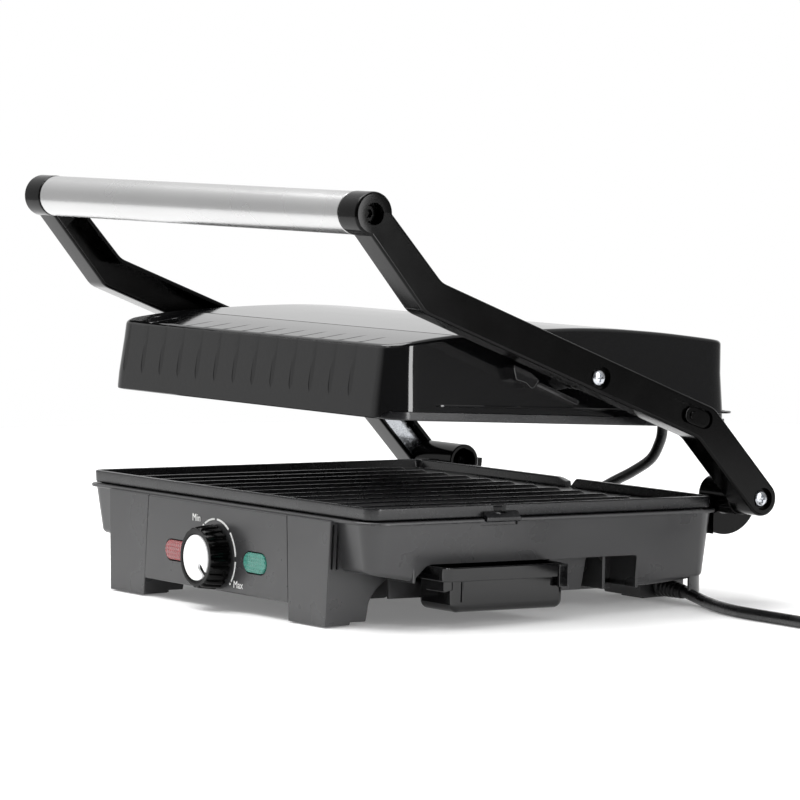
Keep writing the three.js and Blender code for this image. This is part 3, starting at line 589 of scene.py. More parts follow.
@dataclass(frozen=True)
class Finish:
    """One material: what it is made of, how its surface was made, and what that gives the eye."""

    name: str
    colour: str
    roughness: float
    metallic: float = 0.0
    ior: float = 1.5
    variation: float = 0.15  # share by which the roughness wanders
    cloud_mm: float = 30.0  # size of that wandering
    grain_mm: float = 0.0  # size of the surface's grain; 0 for none
    grain_depth: float = 0.0  # height of the grain, in millimetres
    stretch: tuple[float, float, float] = (1.0, 1.0, 1.0)  # draws the grain out along an axis
    fleck: str = ""  # colour of sprinkled flecks
    fleck_mm: float = 1.0
    fleck_share: float = 0.0
    coat: float = 0.0
    facet_mm: float = 0.0  # pitch of moulded prisms behind the surface; 0 for none
    glow: float = 0.0  # light that the surface gives off

    def material(self) -> bpy.types.Material:
        """The material, made once and then shared.

        Returns:
            The material of this finish.
        """
        known = bpy.data.materials.get(self.name)
        if known:
            return known
        made = bpy.data.materials.new(self.name)
        made.use_nodes = True
        tree = made.node_tree
        shader = tree.nodes["Principled BSDF"]
        shader.inputs["Metallic"].default_value = self.metallic
        shader.inputs["IOR"].default_value = self.ior
        shader.inputs["Coat Weight"].default_value = self.coat
        shader.inputs["Emission Color"].default_value = linear(self.colour)
        shader.inputs["Emission Strength"].default_value = self.glow
        place = node(tree, "ShaderNodeTexCoord").outputs["Object"]
        self.tint(tree, shader, place)
        clouds = node(tree, "ShaderNodeTexNoise", {
            "Vector": place, "Scale": per_metre(self.cloud_mm), "Detail": 4.0})
        low, high = self.roughness * (1 - self.variation), self.roughness * (1 + self.variation)
        spread = node(tree, "ShaderNodeMapRange", {
            "Value": clouds.outputs["Fac"], "From Min": 0.3, "From Max": 0.7, "To Min": low, "To Max": high})
        tree.links.new(spread.outputs["Result"], shader.inputs["Roughness"])
        if self.grain_mm > 0:
            drawn = node(tree, "ShaderNodeMapping", {"Vector": place, "Scale": self.stretch})
            grain = node(tree, "ShaderNodeTexNoise", {
                "Vector": drawn.outputs["Vector"], "Scale": per_metre(self.grain_mm), "Detail": 3.0})
            bump = node(tree, "ShaderNodeBump", {
                "Height": grain.outputs["Fac"], "Distance": self.grain_depth * MM, "Strength": 1.0})
            tree.links.new(bump.outputs["Normal"], shader.inputs["Normal"])
        if self.facet_mm > 0:
            tree.links.new(self.prisms(tree, place), shader.inputs["Normal"])
        return made

    def prisms(self, tree: bpy.types.NodeTree, place: bpy.types.NodeSocket) -> bpy.types.NodeSocket:
        """Rows of small pyramids across the width and the height.

        Args:
            tree: the material's nodes.
            place: where on the piece a point is.

        Returns:
            The bumped normal.
        """
        parts = node(tree, "ShaderNodeSeparateXYZ", {0: place})
        half = self.facet_mm * MM / 2
        rows = [node(tree, "ShaderNodeMath", {0: parts.outputs[axis], 1: half}, operation="PINGPONG").outputs[0]
                for axis in ("X", "Z")]
        height = node(tree, "ShaderNodeMath", {0: rows[0], 1: rows[1]}, operation="MINIMUM")
        bump = node(tree, "ShaderNodeBump", {"Height": height.outputs[0], "Distance": 0.8, "Strength": 0.8})
        return bump.outputs["Normal"]

    def tint(self, tree: bpy.types.NodeTree, shader: bpy.types.Node, place: bpy.types.NodeSocket) -> None:
        """Colours the surface, with slow variation and any flecks.

        Args:
            tree: the material's nodes.
            shader: its principled shader.
            place: where on the piece a point is.
        """
        base = linear(self.colour)
        darker = tuple(c * 0.82 for c in base[:3]) + (1.0,)
        patches = node(tree, "ShaderNodeTexNoise", {"Vector": place, "Scale": per_metre(self.cloud_mm * 1.7)})
        colour = blend(tree, patches.outputs["Fac"], darker, base)
        if self.fleck:
            cells = node(tree, "ShaderNodeTexVoronoi", {"Vector": place, "Scale": per_metre(self.fleck_mm)})
            chosen = node(tree, "ShaderNodeMath", {0: cells.outputs["Distance"], 1: self.fleck_share},
                          operation="LESS_THAN")
            colour = blend(tree, chosen.outputs[0], colour, linear(self.fleck))
        tree.links.new(colour, shader.inputs["Base Color"])


class Look:
    """The finishes of the press."""

    # Polished ABS: black and mirror-like, its reflections softened a little by a very fine texture.
    GLOSS = Finish("abs_moulded_polished_black", "#0a0a0b", 0.08, grain_mm=0.9, grain_depth=0.0008)
    # The base's ABS is a dark grey from a duller tool, so it shades softly instead of mirroring.
    BASE = Finish("abs_moulded_dark_grey", "#39393a", 0.3, grain_mm=0.8, grain_depth=0.004)
    # Glass-filled nylon from a fine eroded tool: satin black, with a grain that only breaks up the gloss.
    SATIN = Finish("nylon_moulded_satin_black", "#020202", 0.15, ior=1.25, grain_mm=0.7, grain_depth=0.003)
    # Sprayed non-stick on die-cast aluminium: pale flecks under a dull black film that shines at a low angle.
    NON_STICK = Finish("non_stick_sprayed_black", "#18181a", 0.27, grain_mm=0.9, grain_depth=0.02,
                       fleck="#414143", fleck_mm=1.5, fleck_share=0.16)
    # Stainless tube brushed along its length: fine lines that spread each highlight round the bar.
    BRUSHED = Finish("stainless_steel_brushed", "#c6c6c6", 0.27, metallic=1.0, variation=0.05, cloud_mm=60,
                     grain_mm=0.6, grain_depth=0.0015, stretch=(0.01, 1.0, 1.0))
    # Zinc-plated steel: bright, a little blotchy.
    ZINC = Finish("steel_zinc_plated", "#c9ccd1", 0.24, metallic=1.0, variation=0.4, cloud_mm=4)
    # The heater's sheath has gone brown and dull with heat.
    HEATER = Finish("steel_heater_sheath_darkened", "#5a5450", 0.45, metallic=1.0, variation=0.3, cloud_mm=9)
    # Rolled aluminium: soft reflections drawn out along the rolling direction.
    SHEET = Finish("aluminium_sheet_pressed", "#cfd0d2", 0.36, metallic=1.0, grain_mm=1.2, grain_depth=0.01,
                   stretch=(0.05, 1.0, 1.0))
    # Unglazed steatite: a chalky cream, without any shine.
    CERAMIC = Finish("steatite_unglazed", "#d8d0c0", 0.7, grain_mm=0.8, grain_depth=0.03)
    # Soft PVC sheath: smooth, with a dull shine that wanders along the lead.
    SHEATH = Finish("pvc_extruded_black", "#0e0e0f", 0.3, variation=0.3, cloud_mm=12, grain_mm=2.5,
                    grain_depth=0.02)
    # Moulded PVC: duller than the sheath, with a fine grain.
    RUBBER = Finish("pvc_moulded_black", "#111112", 0.42, grain_mm=0.8, grain_depth=0.015)
    # Rubber feet: matt and grey with dust.
    PAD = Finish("rubber_moulded_grey", "#2c2c2d", 0.75, grain_mm=1.0, grain_depth=0.04)
    # Pad-printed ink: an even matt white.
    PRINT = Finish("ink_pad_printed_white", "#f8f8f6", 0.5, variation=0.05)
    # White ABS: smooth and bright, with a soft shine; its glow is painted light that brightens the disc, though it
    # is no lamp.
    DISC = Finish("abs_moulded_white_painted_glow", "#ffffff", 0.34, variation=0.1, glow=0.16)
    # Clear red and green lenses: gloss over rows of small prisms that break up the colour.
    RED = Finish("polycarbonate_moulded_red", "#98383b", 0.16, cloud_mm=5, coat=0.3, facet_mm=2.4)
    GREEN = Finish("polycarbonate_moulded_green", "#449585", 0.16, cloud_mm=5, coat=0.3, facet_mm=2.4)
    # Nickel on brass: a warm, clean metal.
    NICKEL = Finish("brass_nickel_plated", "#c9c4bb", 0.2, metallic=1.0, variation=0.3, cloud_mm=5)
    # Opal acrylic lit from below: a white table whose shadows stay pale.
    TABLE_TOP = Finish("acrylic_opal_backlit_white", "#f6f6f6", 0.9, variation=0.02, glow=0.18)


def dress(
    thing: bpy.types.Object,
    look: Finish,
    body: str,
    stands_for: tuple[str, ...] = (),
    sharp: float = 32.0,
) -> bpy.types.Object:
    """Gives a piece its shading, material and body.

    Args:
        thing: the piece, in place.
        look: its finish.
        body: the CAD body that it rides on.
        stands_for: the CAD nodes that it replaces.
        sharp: the edge angle that stays sharp, in degrees.

    Returns:
        The piece.
    """
    shade(thing, sharp)
    thing.data.materials.clear()
    thing.data.materials.append(look.material())
    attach(thing, body)
    if stands_for:
        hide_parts(*stands_for)
    LOG.info("%s rides on %s", thing.name, body)
    return thing


def side_name(side: int) -> str:
    """left for -1 and right for 1."""
    return "left" if side < 0 else "right"


def sided(form: Form, side: int) -> Form:
    """A form drawn for the right, on either side."""
    return form if side > 0 else form.mirrored()


# ------------------------------------------------------------------ studio
@dataclass
class Studio:
    """The camera, the pale floor and the soft light."""

    azimuth: float = 55.595  # degrees, from straight in front towards the right
    elevation: float = 3.607
    roll: float = 1.052
    distance: float = 3048.0
    lens: float = 225.59  # on a 36 mm sensor
    target: tuple[float, float, float] = (-0.7, 1.2, 121.6)
    floor_radius: float = 1.25  # metres
    dim: float = 0.1  # light from every side of the room
    # White walls: the axis along which each stands, where it starts and is full, and its light.
    walls: tuple[tuple[str, float, float, float], ...] = (("X", -0.12, -0.6, 0.60), ("Y", 0.05, 0.7, 0.18),
                                                          ("Z", 0.15, 0.9, 0.42))

    def camera(self) -> None:
        """Puts the camera in front of the press's right-hand corner."""
        a, e, r = (math.radians(v) for v in (self.azimuth, self.elevation, self.roll))
        back = Vector((math.sin(a) * math.cos(e), -math.cos(a) * math.cos(e), math.sin(e)))
        right = Vector((math.cos(a), math.sin(a), 0.0))
        up = right.cross(-back)
        level_right = right * math.cos(r) + up * math.sin(r)
        level_up = up * math.cos(r) - right * math.sin(r)
        axes = Matrix((level_right, level_up, back)).transposed()
        turn = LEVEL_TURN.to_3x3() @ axes
        data = bpy.data.cameras.new("camera")
        data.lens = self.lens
        data.sensor_width = 36.0
        data.clip_end = 100.0
        seen = bpy.data.objects.new("camera", data)
        stand = LEVEL @ (Vector(self.target) + back * self.distance)
        seen.matrix_world = Matrix.Translation(stand) @ turn.to_4x4()
        bpy.context.scene.collection.objects.link(seen)
        bpy.context.scene.camera = seen

    def floor(self) -> None:
        """A round pale table top."""
        mesh = bpy.data.meshes.new("floor")
        sides = 96
        turns = [2 * math.pi * k / sides for k in range(sides)]
        rim = [(self.floor_radius * math.cos(t), self.floor_radius * math.sin(t), 0.0) for t in turns]
        mesh.from_pydata(rim, [], [tuple(range(sides))])
        table = bpy.data.objects.new("floor", mesh)
        mesh.materials.append(Look.TABLE_TOP.material())
        bpy.context.scene.collection.objects.link(table)

    def panel(self, name: str, at: tuple[float, float, float], size: tuple[float, float], power: float) -> None:
        """A soft rectangular light that faces the press.

        Args:
            name: its name.
            at: where it stands, in metres.
            size: its width and height, in metres.
            power: watts.
        """
        data = bpy.data.lights.new(name, "AREA")
        data.shape = "RECTANGLE"
        data.size, data.size_y = size
        data.energy = power
        lamp = bpy.data.objects.new(name, data)
        aim = Vector((0.0, 0.0, 0.1)) - Vector(at)
        lamp.matrix_world = Matrix.Translation(at) @ aim.to_track_quat("-Z", "Y").to_matrix().to_4x4()
        bpy.context.scene.collection.objects.link(lamp)

    def surround(self) -> None:
        """A white room, darker to the right, which the gloss mirrors; the backdrop itself is plain white."""
        world = bpy.data.worlds.new("studio")
        world.use_nodes = True
        tree = world.node_tree
        tree.nodes.clear()
        way = node(tree, "ShaderNodeTexCoord").outputs["Generated"]
        parts = node(tree, "ShaderNodeSeparateXYZ", {0: way})
        light: object = self.dim
        for axis, start, end, strength in self.walls:
            wall = node(tree, "ShaderNodeMapRange", {
                "Value": parts.outputs[axis], "From Min": start, "From Max": end,
                "To Min": 0.0, "To Max": strength}, interpolation_type="SMOOTHSTEP")
            light = node(tree, "ShaderNodeMath", {0: light, 1: wall.outputs["Result"]}).outputs[0]
        glow = node(tree, "ShaderNodeBackground", {"Color": (1, 1, 1, 1), "Strength": light})
        plain = node(tree, "ShaderNodeBackground", {"Color": (1, 1, 1, 1), "Strength": 1.0})
        rays = node(tree, "ShaderNodeLightPath")
        mix = node(tree, "ShaderNodeMixShader", {0: rays.outputs["Is Camera Ray"], 1: glow.outputs[0],
                                                 2: plain.outputs[0]})
        node(tree, "ShaderNodeOutputWorld", {"Surface": mix.outputs[0]})
        bpy.context.scene.world = world

    def build(self) -> None:
        """Sets up the whole studio."""
        self.camera()
        self.floor()
        self.surround()
        self.panel("overhead", (-0.3, -0.3, 1.7), (1.6, 1.6), 48.0)
        self.panel("strip", (1.9, 0.6, 0.35), (0.54, 1.4), 26.0)
        bpy.context.scene.view_settings.view_transform = "Standard"


# ------------------------------------------------------------------ mains lead
@dataclass
class MainsLead:
    """The lead from the rear right foot: relief, route, coil and plug, on the table's level."""

    diameter: float = 6.9
    exit: tuple[float, float, float] = (118.0, 112.0, 8.3)
    relief_length: float = 24.0
    coil_centre: tuple[float, float] = (312.0, 133.0)
    coil_radius: float = 39.0
    plug_radius: float = 18.0
    plug_length: float = 46.0
    pin_length: float = 19.0

    def route(self) -> list[Vector]:
        """The stretch that isn't coiled, from the foot to the coil."""
        points = [
            self.exit, (126, 112, 7.7), (134, 112, 7.1), (142.9, 112, 6.5), (150, 111.6, 5.4),
            (157, 110.6, 4.5), (164, 108.9, 3.8), (171, 106.6, 3.5), (180, 103.3, 3.5), (190, 99.8, 3.5),
            (201, 96.6, 3.5), (213, 94, 3.5), (225, 92.5, 3.5), (238, 91.9, 3.5), (250, 91.7, 3.5), (262, 91.5, 3.5),
            (274, 91.2, 3.5), (285.8, 90.9, 3.5),
        ]
        return [Vector(p) for p in points]

    def coil(self) -> list[Vector]:
        """Three turns: two beside each other on the table and one lying in the groove between them."""
        pitch = self.diameter + 0.6
        outer, inner = self.coil_radius + pitch / 2, self.coil_radius - pitch / 2
        low = self.diameter / 2 + 0.05
        high = low + math.sqrt((self.diameter + 0.1) ** 2 - (pitch / 2) ** 2)
        marks = [(0, outer, low), (300, outer, low), (400, inner, low), (660, inner, low),
                 (760, self.coil_radius, high), (1230, self.coil_radius, high)]  # degrees, radius, height
        made: list[Vector] = []
        for angle in range(0, marks[-1][0] + 1, 15):
            before = max(m for m in marks if m[0] <= angle)
            after = min((m for m in marks if m[0] > angle), default=before)
            share = (angle - before[0]) / max(after[0] - before[0], 1)
            share = share * share * (3 - 2 * share)
            radius = before[1] + (after[1] - before[1]) * share
            height = before[2] + (after[2] - before[2]) * share
            turn = math.radians(angle - 90)
            made.append(Vector((self.coil_centre[0] + radius * math.cos(turn),
                                self.coil_centre[1] + radius * math.sin(turn), height)))
        return made

    def tail(self) -> list[Vector]:
        """From the top turn over to the plug, which lies on its side."""
        x, y = self.coil_centre[0], self.coil_centre[1] + self.coil_radius
        return [Vector((x - 6, y, 11.2)), Vector((x - 16, y, 14.6)), Vector((x - 24, y, 17.2)),
                Vector((x - 33, y, 18.0)), Vector((x - 40, y, 18.05))]

    def line(self) -> list[Vector]:
        """The whole centreline."""
        return smooth_path([*self.route(), *self.coil()[1:], *self.tail()], 3)

    def build(self) -> None:
        """The lead with its relief and its plug."""
        line = self.line()
        lead = make("mains_lead", tube(line, self.diameter / 2, 18), TABLE)
        dress(lead, Look.SHEATH, "base", ("mains_cord", "cord_coil"), 60)
        relief = self.relief()
        plug = self.plug()
        pins = [frame["nodes"][n] for n in ("plug_pin_live", "plug_pin_neutral")]
        for pin in pins:
            dress_cad(pin.name, Look.NICKEL)

    def relief(self) -> bpy.types.Object:
        """The tapered relief with its rings, which grips the lead where it leaves the foot."""
        r = self.diameter / 2
        rings: Outline = [(0.0, -6.0), (4.2, -6.0), (4.2, 0.5), (6.2, 0.7), (6.4, 1.2), (6.4, 3.6), (6.0, 4.1)]
        steps = 5
        for k in range(steps):
            start = 4.6 + k * 3.5
            size = 5.6 - k * 0.28
            rings += [(size - 0.7, start), (size - 0.7, start + 0.9), (size, start + 1.3), (size, start + 2.9)]
        rings += [(r + 0.8, 22.3), (r + 0.7, 23.8), (r + 0.3, self.relief_length), (0.0, self.relief_length)]
        place = TABLE @ shifted(*self.exit) @ turned("Y", 90 + 4.3)
        thing = make("cord_relief_sleeve", revolved(rings, (0.0, 0.0), Axis.Z, 40), place)
        return dress(thing, Look.RUBBER, "base", ("cord_strain_relief",))

    def plug(self) -> bpy.types.Object:
        """A moulded plug with a waisted grip."""
        r = self.plug_radius
        neck = self.diameter / 2 + 0.95
        profile: Outline = [(0, 0), (r - 2.2, 0), (r - 0.8, 0.5), (r, 2), (r, 8), (r - 0.9, 10), (r - 0.9, 13),
                            (r, 15), (r - 0.2, 16.5), (r - 1.4, 20), (r - 3.4, 24.5), (11.6, 29), (9, 33),
                            (7.2, 36.5)]
        for k in range(3):
            start = 37.2 + 2.8 * k
            profile += [(neck + 1.2 - 0.3 * k, start), (neck + 1.2 - 0.3 * k, start + 1.5), (neck, start + 1.9)]
        profile += [(neck, self.plug_length - 0.4), (neck - 0.4, self.plug_length), (0, self.plug_length)]
        tail = Vector((self.coil_centre[0] - 27, self.coil_centre[1] + self.coil_radius, r + 0.05))
        place = TABLE @ shifted(tail.x - self.plug_length, tail.y, tail.z) @ turned("Z", -90)
        thing = make("moulded_plug", revolved(profile, (0.0, 0.0), Axis.Y, 56), place)
        return dress(thing, Look.RUBBER, "base", ("mains_plug",))


def dress_cad(name: str, look: Finish, smooth: float = 0.0) -> None:
    """Gives a CAD node its finish, and rounds its edges where asked.

    Args:
        name: the node.
        look: its finish.
        smooth: width of the rounded edges, in millimetres.
    """
    thing = frame["nodes"][name]
    thing.data.materials.clear()
    thing.data.materials.append(look.material())
    if smooth > 0:
        weld = thing.modifiers.new("weld", "WELD")
        weld.merge_threshold = 1e-6
        soften(thing, smooth, 2, applied=False)


# ------------------------------------------------------------------ base
@dataclass
class Base:
    """The base casing: an open tub with a lip, a control panel, two front legs and two rear feet."""

    plan: Plan = Plan(155.0, -125.0, 126.0, 12.0)
    top: float = 63.6
    lip: float = 3.2
    draft: float = 4.2  # how much narrower it is at the bottom
    wall: float = 2.5
    face: float = PANEL_Y
    panel_half_low: float = 79.8
    panel_half_high: float = 76.4
    panel_low: float = 11.0
    panel_top: float = 62.2
    seam: float = 0.5
    leg_outer_low: float = 119.5
    leg_outer_high: float = 123.0

    def underside(self, y: float) -> float:
        """The height of the lower edge, which sweeps up to the front."""
        marks = [(-140, 36.2), (-125, 34), (-107, 31), (-81, 26.7), (-45, 21.4), (-10, 19.2), (40, 18.9),
                 (80, 19.4), (110, 22), (140, 25.4)]
        return between(marks, y)

    def tub(self) -> bpy.types.Object:
        """The tub: floor inside, walls, lip, walls outside and the swept underside."""
        w, top = self.wall, self.top
        levels: list[tuple[float, Height]] = [
            (self.draft + w + 3, lambda y: self.underside(y) + w),
            (self.draft + w, lambda y: self.underside(y) + w + 3),
            (w, flat(top - 3)),
            (w, flat(top)),
            (-self.lip + 0.4, flat(top)),
            (-self.lip, flat(top - 0.4)),
            (-self.lip, flat(top - 1.5)),
            (-self.lip + 0.4, flat(top - 1.9)),
            (-0.3, flat(top - 2.0)),
            (0.0, flat(top - 2.4)),
        ]
        for inset, drop in rounding(self.draft - 0.25, 3.0, 5):
            levels.append((inset, lambda y, drop=drop: self.underside(y) + drop))
        breaks = [k / 24 for k in range(1, 24)]
        tub = make("tub", stacked(self.plan, levels, breaks, 16, 10), LEVEL)
        wall_x = self.plan.half - 29
        pocket = filleted([(-90, -20, 0), (68, -20, 0), (68, 38, 1.5), (-82, 38, 8), (-90, 30, 5)])
        recess = prism(pocket, wall_x, 200)
        spout_gap = block((153.6, 170), (-47, -21), (59.4, 80))
        sleeve = revolved([(0, 120), (11.9, 120), (11.9, 170), (0, 170)], (HINGE.y, HINGE.z), Axis.X, 40)
        cut(tub, (recess, LEVEL), (spout_gap, LEVEL), (sleeve, LEVEL), (sleeve.mirrored(), LEVEL))
        return tub

    def recess_walls(self) -> bpy.types.Object:
        """The walls of the pocket that takes the drip tray, with a dark return and a locating rib."""
        x0 = self.plan.half - 29
        back = block((x0 - 2, x0), (-91, 69), (16, 40))
        roof = block((x0 - 2, self.plan.half - 3.2), (-91, 69), (38, 40.4))
        rear = block((x0 - 2, self.plan.half - 3.4), (68, 70), (18.6, 40))
        front = block((x0 - 2, self.plan.half - 3.4), (-92, -90), (27.5, 40))
        post = prism(filleted([(14, 38.2, 0), (42, 38.2, 0), (38, 17.4, 1), (21, 17.4, 1)]), x0, x0 + 12)
        rib = block((x0, x0 + 21), (47, 49), (18, 38.2))
        return make("pocket", back.plus(roof, rear, front, post, rib), LEVEL, 0.3, 2)

    def panel(self) -> bpy.types.Object:
        """The control panel between the legs, leaning back a little, with wells for the lenses."""
        low, top = self.panel_low, self.panel_top
        profile = filleted([(self.face, low, 1.2), (-62, low, 6), (-44, 19, 4), (-44, 40, 0), (-112, 40, 0),
                            (-112, top, 0), (self.face + 0.2, top, 1.0)])
        front = [(-self.panel_half_low, low - 1), (self.panel_half_low, low - 1),
                 (self.panel_half_high, top + 1), (-self.panel_half_high, top + 1)]
        thing = make("panel", prism(profile, -90, 90), LEVEL)
        combined(thing, make("tool", prism(front, -140, -30, Axis.Y), LEVEL), Combine.SHARE)
        soften(thing, 0.35, 2)
        for side in (-1, 1):
            well = prism(pill(25.6, 13.4, side * 43.7, KNOB_Z), -140, self.face + 4, Axis.Y)
            cut(thing, (well, LEVEL))
        shaft = revolved([(0, -140), (9, -140), (9, -124), (0, -124)], (0, KNOB_Z), Axis.Y, 32)
        return cut(thing, (shaft, LEVEL))

    def leg(self, side: int) -> bpy.types.Object:
        """A front leg: a tapering post whose back sweeps up under the base, with two slots outside."""
        front = [(self.panel_half_high + self.seam, self.panel_top), (self.panel_half_low + self.seam, 0.8),
                 (self.leg_outer_low, 0.8), (self.leg_outer_high, self.panel_top)]
        sweep = [(-101.4 + 15.3 * t * t, 9 + 20 * t ** 0.9) for t in (k / 10 for k in range(11))]
        profile = [(self.face + 0.2, self.panel_top), (self.face, 0.8), (-113.4, 1.2), (-113, 2.8),
                   (-102.4, 2.8), *sweep, (-86, self.panel_top)]
        across = make("leg", sided(prism(front, -140, -80, Axis.Y), side), LEVEL)
        along = make("tool", prism(profile, -140 if side < 0 else 60, -60 if side < 0 else 140), LEVEL)
        post = combined(across, along, Combine.SHARE)
        soften(post, 0.5, 3)
        for y in (-127.9, -124.4):
            slot = block((117.5, 127), (y - 0.75, y + 0.75), (34, 60))
            cut(post, (sided(slot, side), LEVEL))
        return post

    def foot(self, side: int) -> bpy.types.Object:
        """A rear foot with a front face that slopes back, and its open sole."""
        profile = filleted([(93, 23, 0), (99, 8.2, 1), (130, 8.2, 1.5), (130, 20, 3), (121, 26, 0)])
        return make("foot", sided(prism(profile, 80, 118), side), LEVEL, 0.6, 2)

    def rear_skirt(self, side: int) -> bpy.types.Object:
        """The curved skirt under the rear corner beside the foot."""
        outer = arc((137, 110), 13.6, -4, 92, 12)
        inner = arc((137, 110), 11.4, 92, -4, 12)
        return make("skirt", sided(prism(outer + inner, 10.5, 26, Axis.Z), side), LEVEL, 0.4, 2)

    def build(self) -> None:
        """The whole base casing, as one moulding."""
        parts = [self.tub(), self.recess_walls(), self.panel()]
        for side in (-1, 1):
            parts += [self.leg(side), self.foot(side)]
        parts.append(self.rear_skirt(1))
        shell = merged("base_shell", parts)
        dress(shell, Look.BASE, "base", ("base_casing",))


# ------------------------------------------------------------------ lower plate
@dataclass
class LowerPlate:
    """The ribbed lower plate, with its drain notch and its spout."""

    plan: Plan = Plan(155.0, -124.5, 124.5, 8.0)
    top: float = 71.5
    bottom: float = 64.4
    floor: float = 65.8
    rib_top: float = 68.6
    ribs: int = 12
    pitch: float = 24.0

    def rib(self, x: float, front: float, back: float) -> Form:
        """One rib: a rounded ridge whose ends slope down to the floor."""
        low = self.floor - 0.3
        section = [(-2.5, low), (-1.7, self.rib_top - 0.9), (-1.3, self.rib_top - 0.3), (-0.6, self.rib_top),
                   (0.6, self.rib_top), (1.3, self.rib_top - 0.3), (1.7, self.rib_top - 0.9), (2.5, low)]
        stations = [(front, 0.05), (front + 1.6, 0.6), (front + 3.4, 0.95), (front + 5, 1.0), (back - 5, 1.0),
                    (back - 3.4, 0.95), (back - 1.6, 0.6), (back, 0.05)]
        points: list[Vector] = []
        for y, share in stations:
            points += [Vector((x + dx * (0.8 + 0.2 * share), y, low + (z - low) * share)) for dx, z in section]
        count = len(section)
        ends = [tuple(range(count))[::-1], tuple(range(len(points) - count, len(points)))]
        return Form(points, bands(len(stations), count) + ends)

    def ribbed(self, front: float, back: float) -> Form:
        """All the ribs side by side."""
        places = [(i - (self.ribs - 1) / 2) * self.pitch for i in range(self.ribs)]
        first, *rest = [self.rib(x, front, back) for x in places]
        return first.plus(*rest)

    def build(self) -> None:
        """The plate with its ribs."""
        top, floor = self.top, self.floor
        levels = [(6.4, flat(floor)), (5.2, flat(floor + 0.3)), (4.6, flat(floor + 1.1)),
                  (3.7, flat(top - 1.0)), (3.3, flat(top - 0.3)), (2.7, flat(top)), (1.1, flat(top)),
                  (0.4, flat(top - 0.3)), (0.1, flat(top - 0.9)), (0.4, flat(self.bottom + 0.7)), (0.9, flat(self.bottom)),
                  (14.0, flat(self.bottom)), (14.6, flat(60.5))]
        rim = make("rim", stacked(self.plan, levels, [k / 6 for k in range(1, 6)], 6, 10), LEVEL)
        notch = [(-1, 80), (-1, top), (8.6, 69.3), (9.8, floor + 0.2), (14.2, floor + 0.2), (19, top + 0.3),
                 (19, 80)]
        cut(rim, (prism(notch, 116, 130, Axis.Y), LEVEL))
        beak = prism(filleted([(154, 68, 0), (156.5, 67.4, 1), (159.8, 64.4, 1), (159.8, 61.2, 1.2),
                               (155.6, 62.6, 0), (154, 64.5, 0)]), -46, -22, Axis.Y)
        spout = make("spout", beak, LEVEL, 0.5, 2)
        groove = prism(filleted([(-38, 66.4, 1.5), (-30, 66.4, 1.5), (-28, 80, 0), (-40, 80, 0)]), 149.5, 170)
        cut(rim, (groove, LEVEL))
        cut(spout, (groove, LEVEL))
        ribs = make("ribs", self.ribbed(-113, 97), LEVEL)
        plate = merged("lower_grill_plate", [rim, spout, ribs])
        dress(plate, Look.NON_STICK, "base", ("lower_plate",), 38)


